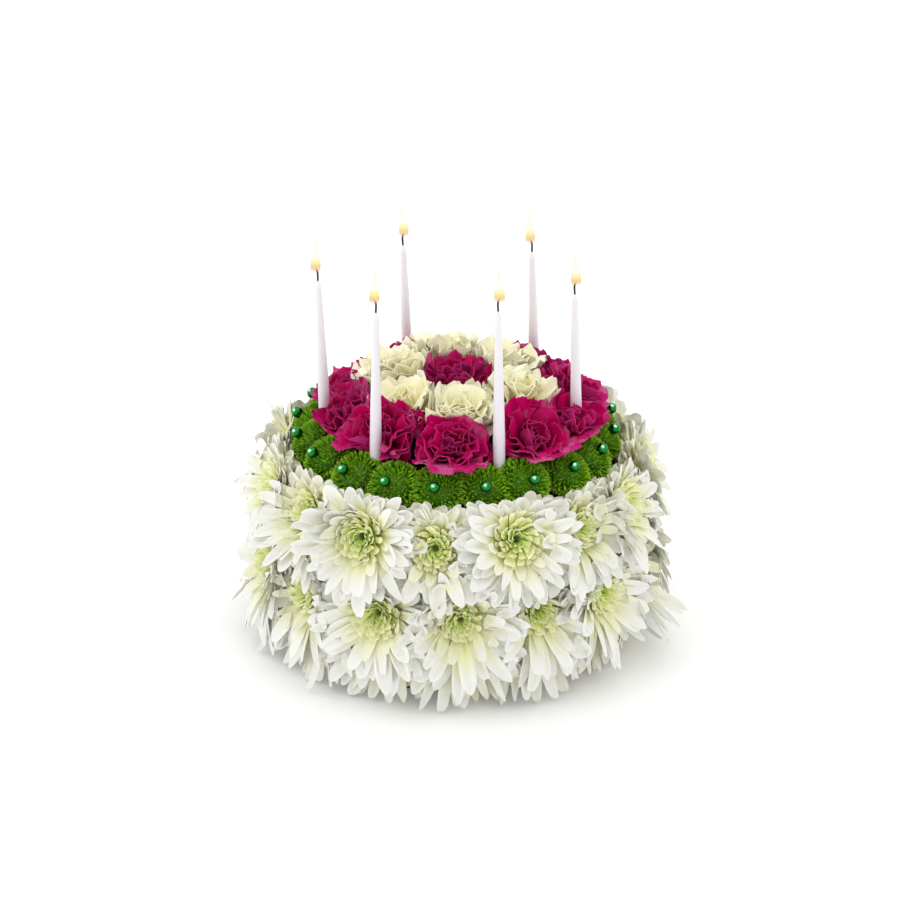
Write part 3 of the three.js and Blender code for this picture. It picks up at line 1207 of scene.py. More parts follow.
@dataclass(frozen=True)
class WickFinish:
    """Burnt cotton: black, with the braid showing."""

    name: str = "wick"
    char: Colour = srgb(16, 13, 12)
    ash: Colour = srgb(52, 44, 40)

    def material(self) -> Material:
        """Makes the material."""
        material, wiring, shader = new_material(self.name)
        braid = wiring.noise(wiring.place(), 2600.0)
        wiring.give(shader, {
            "Base Color": wiring.mix(braid, self.char, self.ash),
            "Normal": wiring.bump(braid, 0.6, 0.0003),
            "Roughness": 0.9,
        })
        return material


@dataclass(frozen=True)
class FlameFinish:
    """A small still flame: almost clear at its foot, then its colours in order up to its point."""

    name: str = "flame"
    foot: Colour = srgb(226, 180, 150)
    amber: Colour = srgb(249, 216, 160)
    yellow: Colour = srgb(255, 250, 178)
    white: Colour = srgb(255, 254, 244)
    point: Colour = srgb(252, 252, 214)

    def material(self) -> Material:
        """Makes the material."""
        material, wiring, shader = new_material(self.name)
        along, _ = wiring.petal_map()
        colour = wiring.mix(wiring.ease(along, 0.04, 0.18), self.foot, self.amber)
        colour = wiring.mix(wiring.ease(along, 0.2, 0.34), colour, self.yellow)
        colour = wiring.mix(wiring.ease(along, 0.34, 0.48), colour, self.white)
        colour = wiring.mix(wiring.ease(along, 0.8, 0.95), colour, self.point)
        wiring.give(shader, {
            "Emission Color": colour,
            "Alpha": wiring.ease(along, 0.0, 0.16, 0.05, 0.9),
            "Emission Strength": 1.0,
            "Base Color": (0.0, 0.0, 0.0),
            "Specular IOR Level": 0.0,
            "Roughness": 1.0,
        })
        return material


@dataclass(frozen=True)
class FoamFinish:
    """Wet floral foam: deep green, finely pored."""

    name: str = "foam"
    dark: Colour = srgb(34, 58, 20)
    light: Colour = srgb(74, 108, 48)

    def material(self) -> Material:
        """Makes the material."""
        material, wiring, shader = new_material(self.name)
        pores = wiring.put("ShaderNodeTexVoronoi")
        wiring.feed(pores.inputs["Vector"], wiring.place())
        pores.inputs["Scale"].default_value = 700.0
        cloud = wiring.noise(wiring.place(), 60.0, 4.0)
        wiring.give(shader, {
            "Base Color": wiring.mix(cloud, self.dark, self.light),
            "Normal": wiring.bump(pores.outputs["Distance"], 0.8, 0.0008),
            "Roughness": 0.95,
        })
        return material


# ---- the lines of the tapers, which petals and florets give way to ----


@dataclass(frozen=True)
class CandleLine:
    """The line that a taper stands on.

    Attributes:
        foot: The taper's foot.
        way: The way that it leans.
        length: How long the taper is.
        tucked: Whether petals stand before its foot too.
    """

    foot: Array
    way: Array
    length: float
    tucked: bool = False

    def part(self, points: Array, room: float) -> Array:
        """Makes room for the taper among a carnation's petals.

        Args:
            points: The petals' points.
            room: How near its axis they may come.

        Returns:
            The points.
        """
        snug = 0.8
        return self.push_clear(points, room * snug) if self.tucked else self.keep_behind(points, room)

    def keep_behind(self, points: Array, room: float) -> Array:
        """Draws points that would pass the taper back towards the cake's axis, so that it stands before them.

        Args:
            points: The points, whatever their order.
            room: How far behind the taper's own axis they stay.

        Returns:
            The points.
        """
        flare, beside, inward, soft = 2.2, 0.012, 0.02, 0.002
        out = self.foot * LEVEL
        out = out / np.linalg.norm(out)
        side = np.cross(Z, out)
        offset = points - self.foot
        height = offset @ self.way
        away = offset - height[..., None] * self.way
        aside = np.abs(away @ side)
        past = away @ out - (flare * np.maximum(aside - room, 0.0) - room)
        held = (past > 0) & (aside < beside) & (away @ out > -inward)
        return points - np.where(held, held_softly(past, soft), 0.0)[..., None] * out

    def push_clear(self, points: Array, room: float) -> Array:
        """Moves points that come too near the taper straight out from it.

        Args:
            points: The points, whatever their order.
            room: The nearest that they may come.

        Returns:
            The points.
        """
        offset = points - self.foot
        height = offset @ self.way
        away = offset - height[..., None] * self.way
        distance = np.linalg.norm(away, axis=-1)
        below = 0.004
        near = (distance < room) & (height > -below) & (height < self.length)
        scale = np.where(near, room / np.maximum(distance, 1e-6), 1.0)
        return points + away * (scale - 1)[..., None]


# ---- the ring of button poms and their pins ----


@dataclass(frozen=True)
class PomRing:
    """Twenty button poms on the shoulder, each a ball of fine green florets with a pearl-headed pin.

    Attributes:
        count: How many poms there are.
        phase: The first one's azimuth.
        ring: The circle that their cores stand on.
        height: The height of that circle.
        radius: A pom's own radius, across its face.
        flat: How thick it is to its face, as a share of its width.
        florets: How many florets each has.
        facing: How far above level a pom looks, in degrees.
        pearl: A pearl's radius.
        pearl_elevation: Where on its pom the pearl sits, in degrees above level.
        pearl_sink: How far the pearl is pushed in.
        shank: How long the pin's shank is.
        seed: What its draws start from.
        core: A core's radius, as a share of its pom's.
        cover: How far down its core the florets go, from 0 at the crown to 2 at the back.
        floret_length: Their length, as a share of the pom's radius: at the tight crown, and what it gains.
        floret_width: Half their width there, and what it gains towards the open sides.
        floret_rise: How steeply they leave there, and what that gains.
        floret_curl: How far they turn there, and what that gains.
        clear: How near a taper's line they may come.
    """

    count: int = 20
    phase: float = -7.3
    ring: float = 0.0765
    height: float = 0.1162
    radius: float = 0.0152
    flat: float = 0.66
    florets: int = 620
    facing: float = 50.0
    pearl: float = 0.0031
    pearl_elevation: float = 33.0
    pearl_sink: float = 0.0022
    shank: float = 0.006
    seed: int = 31
    core: float = 0.72
    cover: float = 1.42
    floret_length: tuple[float, float] = (0.24, 0.09)
    floret_width: tuple[float, float] = (0.00055, 0.00015)
    floret_rise: tuple[float, float] = (84.0, -18.0)
    floret_curl: tuple[float, float] = (14.0, 14.0)
    clear: float = 0.0038

    def build(
        self, green: Material, metal: Material, candles: Sequence[CandleLine]
    ) -> None:
        """Builds and dresses the poms and the pins.

        Args:
            green: The florets' finish.
            metal: The pearls' finish.
            candles: The tapers that the florets stay clear of.
        """
        settle(self.poms(candles), green, "green_pom", "pom_ring")
        settle(self.pins(), metal, "pearl")

    def poms(self, candles: Sequence[CandleLine]) -> Piece:
        """Grows every pom's florets round its core.

        Args:
            candles: The tapers that they stay clear of.

        Returns:
            The piece.
        """
        stations = Station.row((0.0, 0.6, 1.0), (0.62, 1.0, 1.0), (1.0, 0.3, 0.4))
        floret = loft(4, stations, pointed=True)
        core = ball(segments=14, rings=8)
        draws = np.random.default_rng(self.seed)
        posy = Posy("pom_ring_florets")
        for azimuth in ring_azimuths(self.count, self.phase):
            place = FlowerFrame.facing(
                azimuth + draws.uniform(-1.2, 1.2),
                self.ring + draws.uniform(-0.001, 0.001),
                self.height + draws.uniform(-0.001, 0.001),
                self.facing + draws.uniform(-6, 6),
            )
            flattened = core.points * self.radius * self.core * np.array([1.0, 1.0, self.flat])
            posy.add_core(core, place.placed(flattened), along=0.25)
            growth = self.florets_of(place, draws)
            points = growth.shape(floret)
            for candle in candles:
                points = candle.push_clear(points, self.clear)
            posy.add(floret, points, growth.tone, growth.ripe)
        return posy.build(sharp=75.0)

    def florets_of(self, place: FlowerFrame, draws: np.random.Generator) -> Growth:
        """Spreads one pom's florets evenly from its tight crown to its open sides.

        Args:
            place: The pom's core and the way that it looks.
            draws: The ring's random numbers.

        Returns:
            How they grow.
        """
        count = self.florets
        order = np.arange(count) + 0.5
        height = 1 - order / count * self.cover
        polar = np.arccos(np.clip(height + draws.uniform(-0.012, 0.012, count), -1, 1))
        turn = order * math.pi * (3 - math.sqrt(5)) + draws.uniform(-0.12, 0.12, count)
        spokes = place.spokes(turn)
        sphere = self.flat * np.cos(polar)[:, None] * place.axis + np.sin(polar)[:, None] * spokes
        slope = np.arctan2(np.sin(polar) * self.flat, np.cos(polar))
        radial = np.cos(slope)[:, None] * place.axis + np.sin(slope)[:, None] * spokes
        tangent = np.cos(slope)[:, None] * spokes - np.sin(slope)[:, None] * place.axis
        open_ = smooth_step(polar, 0.5, 1.35)
        plain = dict.fromkeys(("rib", "point", "tooth", "ruffle", "phase", "gather", "slim"), np.zeros(count))

        def opened(values: tuple[float, float]) -> Array:
            """A value at the crown, and what it gains towards the open sides."""
            return values[0] + values[1] * open_

        length = self.radius * opened(self.floret_length) * draws.uniform(0.8, 1.16, count)
        reach = sphere * (self.radius * 0.97) - radial * (length * (0.98 - 0.12 * open_))[:, None]
        return Growth(
            foot=place.face + reach,
            out=tangent,
            up=radial,
            length=length,
            width=opened(self.floret_width) * draws.uniform(0.8, 1.2, count),
            thick=np.full(count, 0.00028),
            rise=np.radians(opened(self.floret_rise) + draws.uniform(-20, 20, count)),
            curl=np.radians(opened(self.floret_curl) + draws.uniform(-30, 30, count)),
            bend=np.ones(count),
            cup=opened((0.2, 0.5)),
            twist=draws.uniform(-0.4, 0.4, count),
            sway=length * draws.uniform(-0.08, 0.08, count),
            waves=np.ones(count),
            tone=draws.uniform(0, 1, count),
            ripe=opened((0.25, 0.75)),
            **plain,
        )

    def lay_over(self, points: Array, depth: float, brim: float) -> Array:
        """Lifts the petals that come down on the ring of poms, so that they lie on it instead of in it.

        Args:
            points: The petals' points.
            depth: How far they may nestle in.
            brim: How far from the cake's axis they may reach.

        Returns:
            The points.
        """
        reach = np.hypot(points[..., 0], points[..., 1])
        azimuth = np.arctan2(points[..., 0], -points[..., 1])
        wave = 0.5 * np.sin(29 * azimuth + 1.3) + 0.3 * np.sin(53 * azimuth)
        wave = wave + 0.2 * np.sin(91 * azimuth + 0.7)
        drawn_in, wander, soft, folded = 0.0012, 0.0018, 0.006, 0.3
        brim = brim - drawn_in + wander * wave
        held = brim - soft * np.exp(-np.maximum(reach - brim + soft, 0.0) / soft)
        shorter = np.where(reach > brim - soft, held / np.maximum(reach, 1e-6), 1.0)
        across = reach * shorter - self.ring
        over = points[..., 2] - self.height
        flatter, wavy = 0.9, 0.0012
        top = flatter * np.sqrt(np.maximum((self.radius - depth) ** 2 - across**2, 0.0))
        top = top + wavy * (1 + wave) * smooth_step(across, -0.004, 0.006)
        moved = points.copy()
        moved[..., :2] *= shorter[..., None]
        moved[..., 2] += smooth_step(across, -0.011, -0.004) * np.maximum(top - over, 0.0)
        moved[..., 2] += folded * (1 - shorter) * reach
        return moved

    def stand_off(self, points: Array, depth: float) -> Array:
        """Presses the petals that stand up against the ring of poms out from it.

        Args:
            points: The petals' points.
            depth: How far they may nestle in.

        Returns:
            The points.
        """
        reach = np.hypot(points[..., 0], points[..., 1])
        across, over = reach - self.ring, points[..., 2] - self.height
        flatter, beyond = 0.88, 0.002
        side = flatter * np.sqrt(np.maximum((self.radius - depth) ** 2 - over**2, 0.0))
        pushed = np.where(across > beyond, np.maximum(across, side), across)
        moved = points.copy()
        moved[..., :2] *= ((self.ring + pushed) / np.maximum(reach, 1e-6))[..., None]
        return moved

    def pins(self) -> Piece:
        """Models one pearl with its shank and stands a copy in every pom."""
        deselect_all()
        bpy.ops.mesh.primitive_uv_sphere_add(segments=24, ring_count=14, radius=self.pearl)
        pin = bpy.context.object
        bpy.ops.object.mode_set(mode="EDIT")
        bpy.ops.mesh.select_all(action="DESELECT")
        bpy.ops.object.mode_set(mode="OBJECT")
        for face in pin.data.polygons:
            face.select = face.normal.z < -0.985
        bpy.ops.object.mode_set(mode="EDIT")
        bpy.ops.mesh.extrude_region_move(TRANSFORM_OT_translate={"value": (0.0, 0.0, -self.shank)})
        bpy.ops.transform.resize(value=(0.5, 0.5, 0.1), center_override=(0.0, 0.0, -self.pearl - self.shank))
        stock = close_form()
        posy = Posy("pom_ring_pearls")
        for azimuth in ring_azimuths(self.count, self.phase):
            place = FlowerFrame.facing(azimuth, self.ring, self.height, self.pearl_elevation)
            raised = stock.points + Z * (self.radius * self.flat + self.pearl - self.pearl_sink)
            posy.add_core(stock, place.placed(raised))
        return posy.build(sharp=40.0)


# ---- the lower and upper tiers of chrysanthemums ----


class Tier(Enum):
    """Which round of chrysanthemums a flower is in."""

    LOWER = "mum_lower"
    UPPER = "mum_upper"


@dataclass(frozen=True)
class MumStocks:
    """What every chrysanthemum is grown from: ray petals, quilled florets and the button under them."""

    ray: Stock
    quill: Stock
    core: Stock

    @classmethod
    def model(cls) -> "MumStocks":
        """Models a ray petal, a quilled floret and the button under them."""
        ray = Station.row(
            (0.0, 0.36, 1.0), (0.14, 0.54, 1.2), (0.32, 0.82, 1.1), (0.5, 0.98, 1.0),
            (0.7, 1.0, 0.9), (0.87, 0.9, 0.8), (0.96, 0.66, 0.7), (1.0, 0.32, 0.5),
        )
        quill = Station.row(
            (0.0, 0.55, 1.0), (0.3, 0.65, 1.0), (0.6, 0.8, 0.9), (0.85, 1.0, 0.8), (1.0, 0.85, 0.6)
        )
        return cls(loft(8, ray), loft(6, quill), button_core())


@dataclass(frozen=True)
class Chrysanthemum:
    """One white chrysanthemum: rounds of ray petals round a button of quilled florets.

    Attributes:
        name: The solid that it stands for.
        tier: Which round it is in.
        place: Where its face is.
        seed: What its draws start from.
        stand: How far forward of its neighbour on each side it stands, left and right, -1 to 1.
        droop: How much longer the petals that hang are.
        crest: How long the petals that stand are, as a share.
        closing: The side that its inner petals close over, in radians, and how far.
        bloom: How large its heart is, as a share.
        whirl: How far its quills lean round the heart, as a share of their length.
        rays: The rounds of ray petals.
        backing: The petals behind all the others.
        fringe: The petals behind the others that hang to the table, in the lower round.
        quills: The rounds of quilled florets.
        button: The button's radius.
        floor: The lowest that a petal may hang.
        nestle: How far the petals may nestle into the poms.
    """

    name: str
    tier: Tier
    place: FlowerFrame
    seed: int
    stand: tuple[float, float]
    droop: float
    crest: float
    closing: tuple[float, float]
    bloom: float
    whirl: float
    rays: tuple[Whorl, ...] = (
        Whorl(30, 0.006, 0.008, 10.0, -20.0, 0.0325, 0.0042, cup=0.1, rib=0.2, slim=0.24, loose=1.25),
        Whorl(
            27, 0.0064, 0.0068, 21.0, -26.0, 0.0312, 0.0043,
            cup=0.13, rib=0.2, slim=0.22, loose=1.25, ripe=0.98,
        ),
        Whorl(
            24, 0.0068, 0.0056, 31.0, -28.0, 0.029, 0.0042,
            cup=0.16, rib=0.19, slim=0.2, loose=1.25, ripe=0.95,
        ),
        Whorl(
            17, 0.0078, 0.0046, 41.0, -22.0, 0.0245, 0.0037,
            cup=0.26, rib=0.15, slim=0.2, loose=1.3, ripe=0.85,
        ),
        Whorl(10, 0.0092, 0.0038, 48.0, 6.0, 0.0155, 0.0029, cup=0.4, point=0.0, slim=0.2, ripe=0.45),
    )
    backing: Whorl = Whorl(
        28, 0.005, 0.0105, 0.0, 8.0, 0.031, 0.0052, cup=0.1, rib=0.18, point=0.02, slim=0.2
    )
    fringe: Whorl = Whorl(
        48, 0.006, 0.0105, 0.0, 12.0, 0.037, 0.0039, bend=2.2, cup=0.1, rib=0.18, point=0.02, slim=0.35
    )
    quills: tuple[Whorl, ...] = (
        Whorl(26, 0.0046, 0.0012, 20.0, 38.0, 0.0086, 0.00135, 0.00026, cup=0.75, point=-0.12, ripe=1.0),
        Whorl(22, 0.0036, 0.0006, 30.0, 40.0, 0.0074, 0.0012, 0.00026, cup=0.75, point=-0.12, ripe=0.85),
        Whorl(17, 0.0026, 0.0004, 40.0, 40.0, 0.0056, 0.001, 0.00024, cup=0.7, point=-0.1, ripe=0.6),
        Whorl(12, 0.0018, 0.0004, 50.0, 34.0, 0.0036, 0.00078, 0.00022, cup=0.6, point=-0.05, ripe=0.25),
    )
    button: float = 0.0056
    floor: float = 0.0008
    nestle: float = 0.0015

    def closes_over(self, growth: Growth, power: float = 1.0) -> Array:
        """How far each petal closes over its flower's heart.

        Args:
            growth: The petals.
            power: How fast that falls off to either side.

        Returns:
            A share for each petal.
        """
        side, far = self.closing
        return np.clip(growth.out @ self.place.spokes(np.array([side]))[0], 0, 1) ** power * far

    def petals(self, stocks: MumStocks, poms: PomRing) -> Piece:
        """Grows the ray petals.

        Args:
            stocks: The stocks.
            poms: The ring that the topmost petals lie against.

        Returns:
            The piece.
        """
        draws = np.random.default_rng(self.seed)
        posy = Posy(f"{self.name}_petals")
        wide, deep, behind = 0.0155, 0.009, 0.0088
        pad = stocks.core.points * np.array([wide, wide, deep]) - Z * behind
        reach = np.hypot(stocks.core.points[:, 0], stocks.core.points[:, 1])
        posy.add_core(stocks.core, self.place.placed(pad), along=0.2 + 0.5 * smooth_step(reach, 0.5, 0.9))
        growth = self.backing.grow(self.place, draws, draws.uniform(0, 1))
        self.press(growth, 1.0)
        points = poms.stand_off(self.above_floor(growth.shape(stocks.ray)), self.nestle)
        posy.add(stocks.ray, points, growth.tone, growth.ripe)
        if self.tier is Tier.LOWER:
            growth = self.fringe.grow(self.place, draws, draws.uniform(0, 1))
            hang = -(growth.out @ self.place.up)
            growth.length *= 0.86 + 0.42 * np.clip(hang, 0, 1) ** 1.5
            growth = growth.kept(hang > -0.1)
            posy.add(stocks.ray, self.above_floor(growth.shape(stocks.ray)), growth.tone, growth.ripe)
        for index, whorl in enumerate(self.rays):
            spin = draws.uniform(0, 2 * math.pi / whorl.count) + index * math.pi / whorl.count
            growth = whorl.grow(self.place, draws, spin)
            self.press(growth, 1 - index / len(self.rays))
            if index >= 2:
                close = self.closes_over(growth, 1.5)
                growth.curl += close * math.radians(62)
                growth.rise += close * math.radians(10)
                growth.length *= 1 + 0.25 * close
            points = poms.stand_off(self.above_floor(growth.shape(stocks.ray)), self.nestle)
            posy.add(stocks.ray, points, growth.tone, growth.ripe)
        return posy.build()

    def press(self, growth: Growth, share: float) -> None:
        """Bends the petals as their neighbours and their own weight do.

        Args:
            growth: The petals, which are changed.
            share: How much of it this round feels, 1 for the outermost.
        """
        across, over = growth.out @ self.place.right, growth.out @ self.place.up
        left, right = self.stand
        ahead = np.where(across > 0, right, left) * np.abs(across) ** 3
        growth.length *= 1 - share * 0.2 * np.abs(across) ** 3 + share * 0.1 * ahead
        growth.rise += share * np.radians(9.0) * ahead
        hang = np.clip(-over, 0, 1) ** 1.5
        growth.length *= 1 + (self.droop - 1) * hang * (0.4 + 0.6 * share)
        reach_up = np.clip(over, 0, 1) ** 2
        growth.length *= 1 - (1 - self.crest) * (0.7 + 0.3 * share) * reach_up
        if self.tier is Tier.LOWER:
            growth.rise -= np.radians(6.0) * share * reach_up
            growth.rise -= np.radians(12.0) * share * hang
            growth.curl -= np.radians(10.0) * share * hang
        else:
            growth.rise -= np.radians(10.0) * share * hang

    def above_floor(self, points: Array) -> Array:
        """Lets the petals that reach the table lie out on it.

        Args:
            points: The petals' points.

        Returns:
            The points, none lower than the floor.
        """
        soft = 0.004
        low = points[..., 2] < self.floor + soft
        eased = self.floor + soft * np.exp(np.clip((points[..., 2] - self.floor - soft) / soft, -8, 0))
        points[..., 2] = np.where(low, eased, points[..., 2])
        return points

    def bloomed(self, points: Array) -> Array:
        """Swells the heart's points about the middle of its face."""
        return self.place.face + (points - self.place.face) * self.bloom

    def heart(self, stocks: MumStocks) -> Piece:
        """Grows the button.

        Args:
            stocks: The stocks.

        Returns:
            The piece.
        """
        draws = np.random.default_rng(self.seed + 7000)
        posy = Posy(f"{self.name}_heart")
        core = stocks.core.points * self.button
        core[:, 2] -= 0.0026
        pit = np.hypot(stocks.core.points[:, 0], stocks.core.points[:, 1])
        core = self.bloomed(self.place.placed(core))
        posy.add_core(stocks.core, core, along=0.04 + smooth_step(pit, 0.1, 0.6) * 0.26)
        for whorl in self.quills:
            growth = whorl.grow(self.place, draws, draws.uniform(0, 1))
            growth.curl += self.closes_over(growth) * math.radians(35)
            growth.sway += self.whirl * growth.length
            posy.add(stocks.quill, self.bloomed(growth.shape(stocks.quill)), growth.tone, growth.ripe)
        return posy.build()


@dataclass(frozen=True)
class MumTier:
    """A round of fifteen chrysanthemums on the foam's side.

    Attributes:
        tier: Which round it is.
        azimuths: Where each flower is.
        radius: How far from the cake's axis their faces are.
        height: How high their faces are.
        tilt: How far above level they look, in degrees.
        droop: How much longer the petals that hang are.
        seed: What their draws start from.
        crests: How long the standing petals are, as a share: the least, and what it gains at the front.
        dip: How much lower the ones at the front and at the back stand.
    """

    tier: Tier
    azimuths: tuple[float, ...]
    radius: float
    height: float
    tilt: float
    droop: float
    seed: int
    crests: tuple[float, float]
    dip: float = 0.0

    def crest(self, azimuth: float) -> float:
        """How long the standing petals are at an azimuth: the shoulder hides them least at the front."""
        (least, gain), left_of_front = self.crests, 6
        return least + gain * max(0.0, math.cos(math.radians(azimuth + left_of_front)))

    def flowers(self) -> list[Chrysanthemum]:
        """Places the flowers, some standing a little forward of their neighbours."""
        draws = np.random.default_rng(self.seed)
        count = len(self.azimuths)
        ranks = draws.permutation(np.linspace(-1, 1, count))
        made = []
        for i, azimuth in enumerate(self.azimuths):
            left, right = ranks[i] - ranks[i - 1], ranks[i] - ranks[(i + 1) % count]
            lowered = self.dip * abs(math.cos(math.radians(azimuth)))
            place = FlowerFrame.facing(
                azimuth,
                self.radius + 0.0022 * ranks[i],
                self.height + 0.002 * draws.uniform(-1, 1) - lowered,
                self.tilt + 4 * draws.uniform(-1, 1),
            )
            made.append(
                Chrysanthemum(
                    name=f"{self.tier.value}_{i + 1}",
                    tier=self.tier,
                    place=place,
                    seed=self.seed * 100 + i,
                    stand=(float(np.sign(left)), float(np.sign(right))),
                    droop=self.droop,
                    crest=self.crest(azimuth),
                    closing=(draws.uniform(0, 2 * math.pi), max(0.0, draws.uniform(-0.6, 1.0))),
                    bloom=1.06 + 0.26 * (0.5 + 0.5 * math.sin(2.4 * i + self.seed)),
                    whirl=0.16 * (-1) ** i,
                )
            )
        return made

    def build(
        self, stocks: MumStocks, poms: PomRing, white: Material, green: Material
    ) -> None:
        """Builds and dresses the round.

        Args:
            stocks: What the flowers are grown from.
            poms: The ring that the topmost petals lie against.
            white: The petals' finish.
            green: The buttons' finish.
        """
        for flower in self.flowers():
            settle(flower.petals(stocks, poms), white, "white_petal", flower.name)
            settle(flower.heart(stocks), green, "mum_heart")


# ---- the carnations ----


@dataclass(frozen=True)
class Crowd:
    """The carnations' faces, which crowd each other into one dome."""

    faces: tuple[FlowerFrame, ...]

    def press(self, points: Array, own: FlowerFrame, past: Array) -> Array:
        """Crumples the petals that would grow through a neighbour up against it.

        Args:
            points: The petals' points, one row of them for each petal.
            own: Their own flower's face.
            past: How far each petal may pass the middle between two flowers.

        Returns:
            The points.
        """
        neighbourly, soft, heaped = 0.05, 0.005, 0.15
        for other in self.faces:
            gap = other.face - own.face
            distance = np.linalg.norm(gap)
            if not 1e-4 < distance < neighbourly:
                continue
            way = gap / distance
            toward = (points - own.face) @ way
            over = np.maximum(toward - (distance / 2 + past[:, None] - soft), 0.0)
            back = held_softly(over, soft)
            points = points - back[..., None] * way + heaped * back[..., None] * own.axis
        return points


@dataclass(frozen=True)
class Bed:
    """What the carnations are grown from and among.

    Attributes:
        sheet: The petal stock.
        core: A ball.
        crowd: All their faces.
        candles: The tapers that their petals go round.
        poms: The ring that their petals lie over.
    """

    sheet: Stock
    core: Stock
    crowd: Crowd
    candles: Sequence[CandleLine]
    poms: PomRing


@dataclass(frozen=True)
class Carnation:
    """One carnation: rounds of fan-shaped petals, ruffled and toothed, opening from its heart.

    Attributes:
        name: The solid that it stands for.
        place: Where its face is.
        size: Its radius.
        seed: What its draws start from.
        brim: How far from the cake's axis its petals may reach.
        columns: How many cells each petal has across.
        rounds: Its petals, drawn for a radius of drawn_size.
        drawn_size: That radius.
        BROAD: The rounds of one with fewer, broader petals.
    """

    name: str
    place: FlowerFrame
    size: float
    seed: int
    brim: float = 0.084
    columns: int = 20
    rounds: tuple[Whorl, ...] = (
        Whorl(
            8, 0.0015, 0.0135, 66.0, -66.0, 0.0232, 0.0128, 0.0002,
            bend=0.8, cup=-0.05, point=0.2, tooth=0.013, ruffle=0.0024, waves=2.2, gather=0.04, ripe=1.0,
        ),
        Whorl(
            8, 0.0015, 0.013, 74.0, -60.0, 0.0223, 0.0128, 0.0002,
            bend=0.9, cup=0.14, point=0.2, tooth=0.013, ruffle=0.0027, waves=2.2, gather=0.08, ripe=0.8,
        ),
        Whorl(
            7, 0.0014, 0.0125, 80.0, -46.0, 0.0194, 0.0116, 0.0002,
            bend=1.0, cup=0.3, point=0.2, tooth=0.014, ruffle=0.0026, waves=2.0, gather=0.1, ripe=0.5,
        ),
        Whorl(
            6, 0.0012, 0.012, 86.0, -24.0, 0.0168, 0.0096, 0.0002,
            bend=1.2, cup=0.46, point=0.18, tooth=0.014, ruffle=0.0025, waves=1.8, gather=0.14, ripe=0.2,
        ),
        Whorl(
            4, 0.0008, 0.012, 90.0, 0.0, 0.0164, 0.0068, 0.0002,
            bend=1.2, cup=0.5, point=0.1, tooth=0.014, ruffle=0.002, waves=1.5, gather=0.2, ripe=0.0,
        ),
    )
    drawn_size: float = 0.021
    BROAD: ClassVar[tuple[Whorl, ...]] = (
        Whorl(
            8, 0.0015, 0.0135, 66.0, -62.0, 0.0234, 0.0144, 0.0002,
            bend=0.8, cup=-0.05, point=0.2, tooth=0.012, ruffle=0.0026, waves=1.9, gather=0.04, ripe=1.0,
        ),
        Whorl(
            7, 0.0015, 0.013, 74.0, -56.0, 0.0224, 0.0142, 0.0002,
            bend=0.9, cup=0.16, point=0.2, tooth=0.012, ruffle=0.003, waves=2.0, gather=0.06, ripe=0.8,
        ),
        Whorl(
            6, 0.0012, 0.0125, 80.0, -40.0, 0.0196, 0.0124, 0.0002,
            bend=1.0, cup=0.32, point=0.2, tooth=0.012, ruffle=0.0028, waves=1.5, gather=0.1, ripe=0.5,
        ),
        Whorl(
            5, 0.001, 0.012, 88.0, -14.0, 0.0178, 0.0096, 0.0002,
            bend=1.2, cup=0.5, point=0.12, tooth=0.012, ruffle=0.0026, waves=1.5, gather=0.14, ripe=0.1,
        ),
    )

    def build(self, bed: Bed) -> Piece:
        """Grows the flower.

        Args:
            bed: What it is grown from and among.

        Returns:
            The piece.
        """
        draws = np.random.default_rng(self.seed)
        posy = Posy(f"{self.name}_petals")
        dome, room, above_poms = 0.058, 0.0045, 0.001
        for index, whorl in enumerate(self.rounds):
            growth = whorl.grow(self.place, draws, draws.uniform(0, 1) + 0.5 * index)
            share, outer = self.size / self.drawn_size, 1 - index / len(self.rounds)
            growth.length *= share
            growth.width *= share
            downhill = np.clip(growth.out @ (self.place.face * LEVEL) / dome, 0, 1)
            growth.curl += np.radians(24.0) * downhill * outer
            growth.length *= 1 + 0.12 * downhill * outer
            points = growth.shape(bed.sheet, columns=self.columns)
            past = draws.uniform(-0.002, 0.002, whorl.count) + (0.0015 if index == 0 else 0.0)
            points = bed.crowd.press(points, self.place, past + 0.005 * downhill**2)
            points = bed.poms.lay_over(points, -above_poms, self.brim)
            for candle in bed.candles:
                points = candle.part(points, room)
            posy.add(bed.sheet, points, growth.tone, growth.ripe)
        heart = bed.core.points * np.array([0.009, 0.009, 0.007]) * self.size / self.drawn_size
        heart[:, 2] -= 0.007
        posy.add_core(bed.core, self.place.placed(heart))
        return posy.build(sharp=70.0)


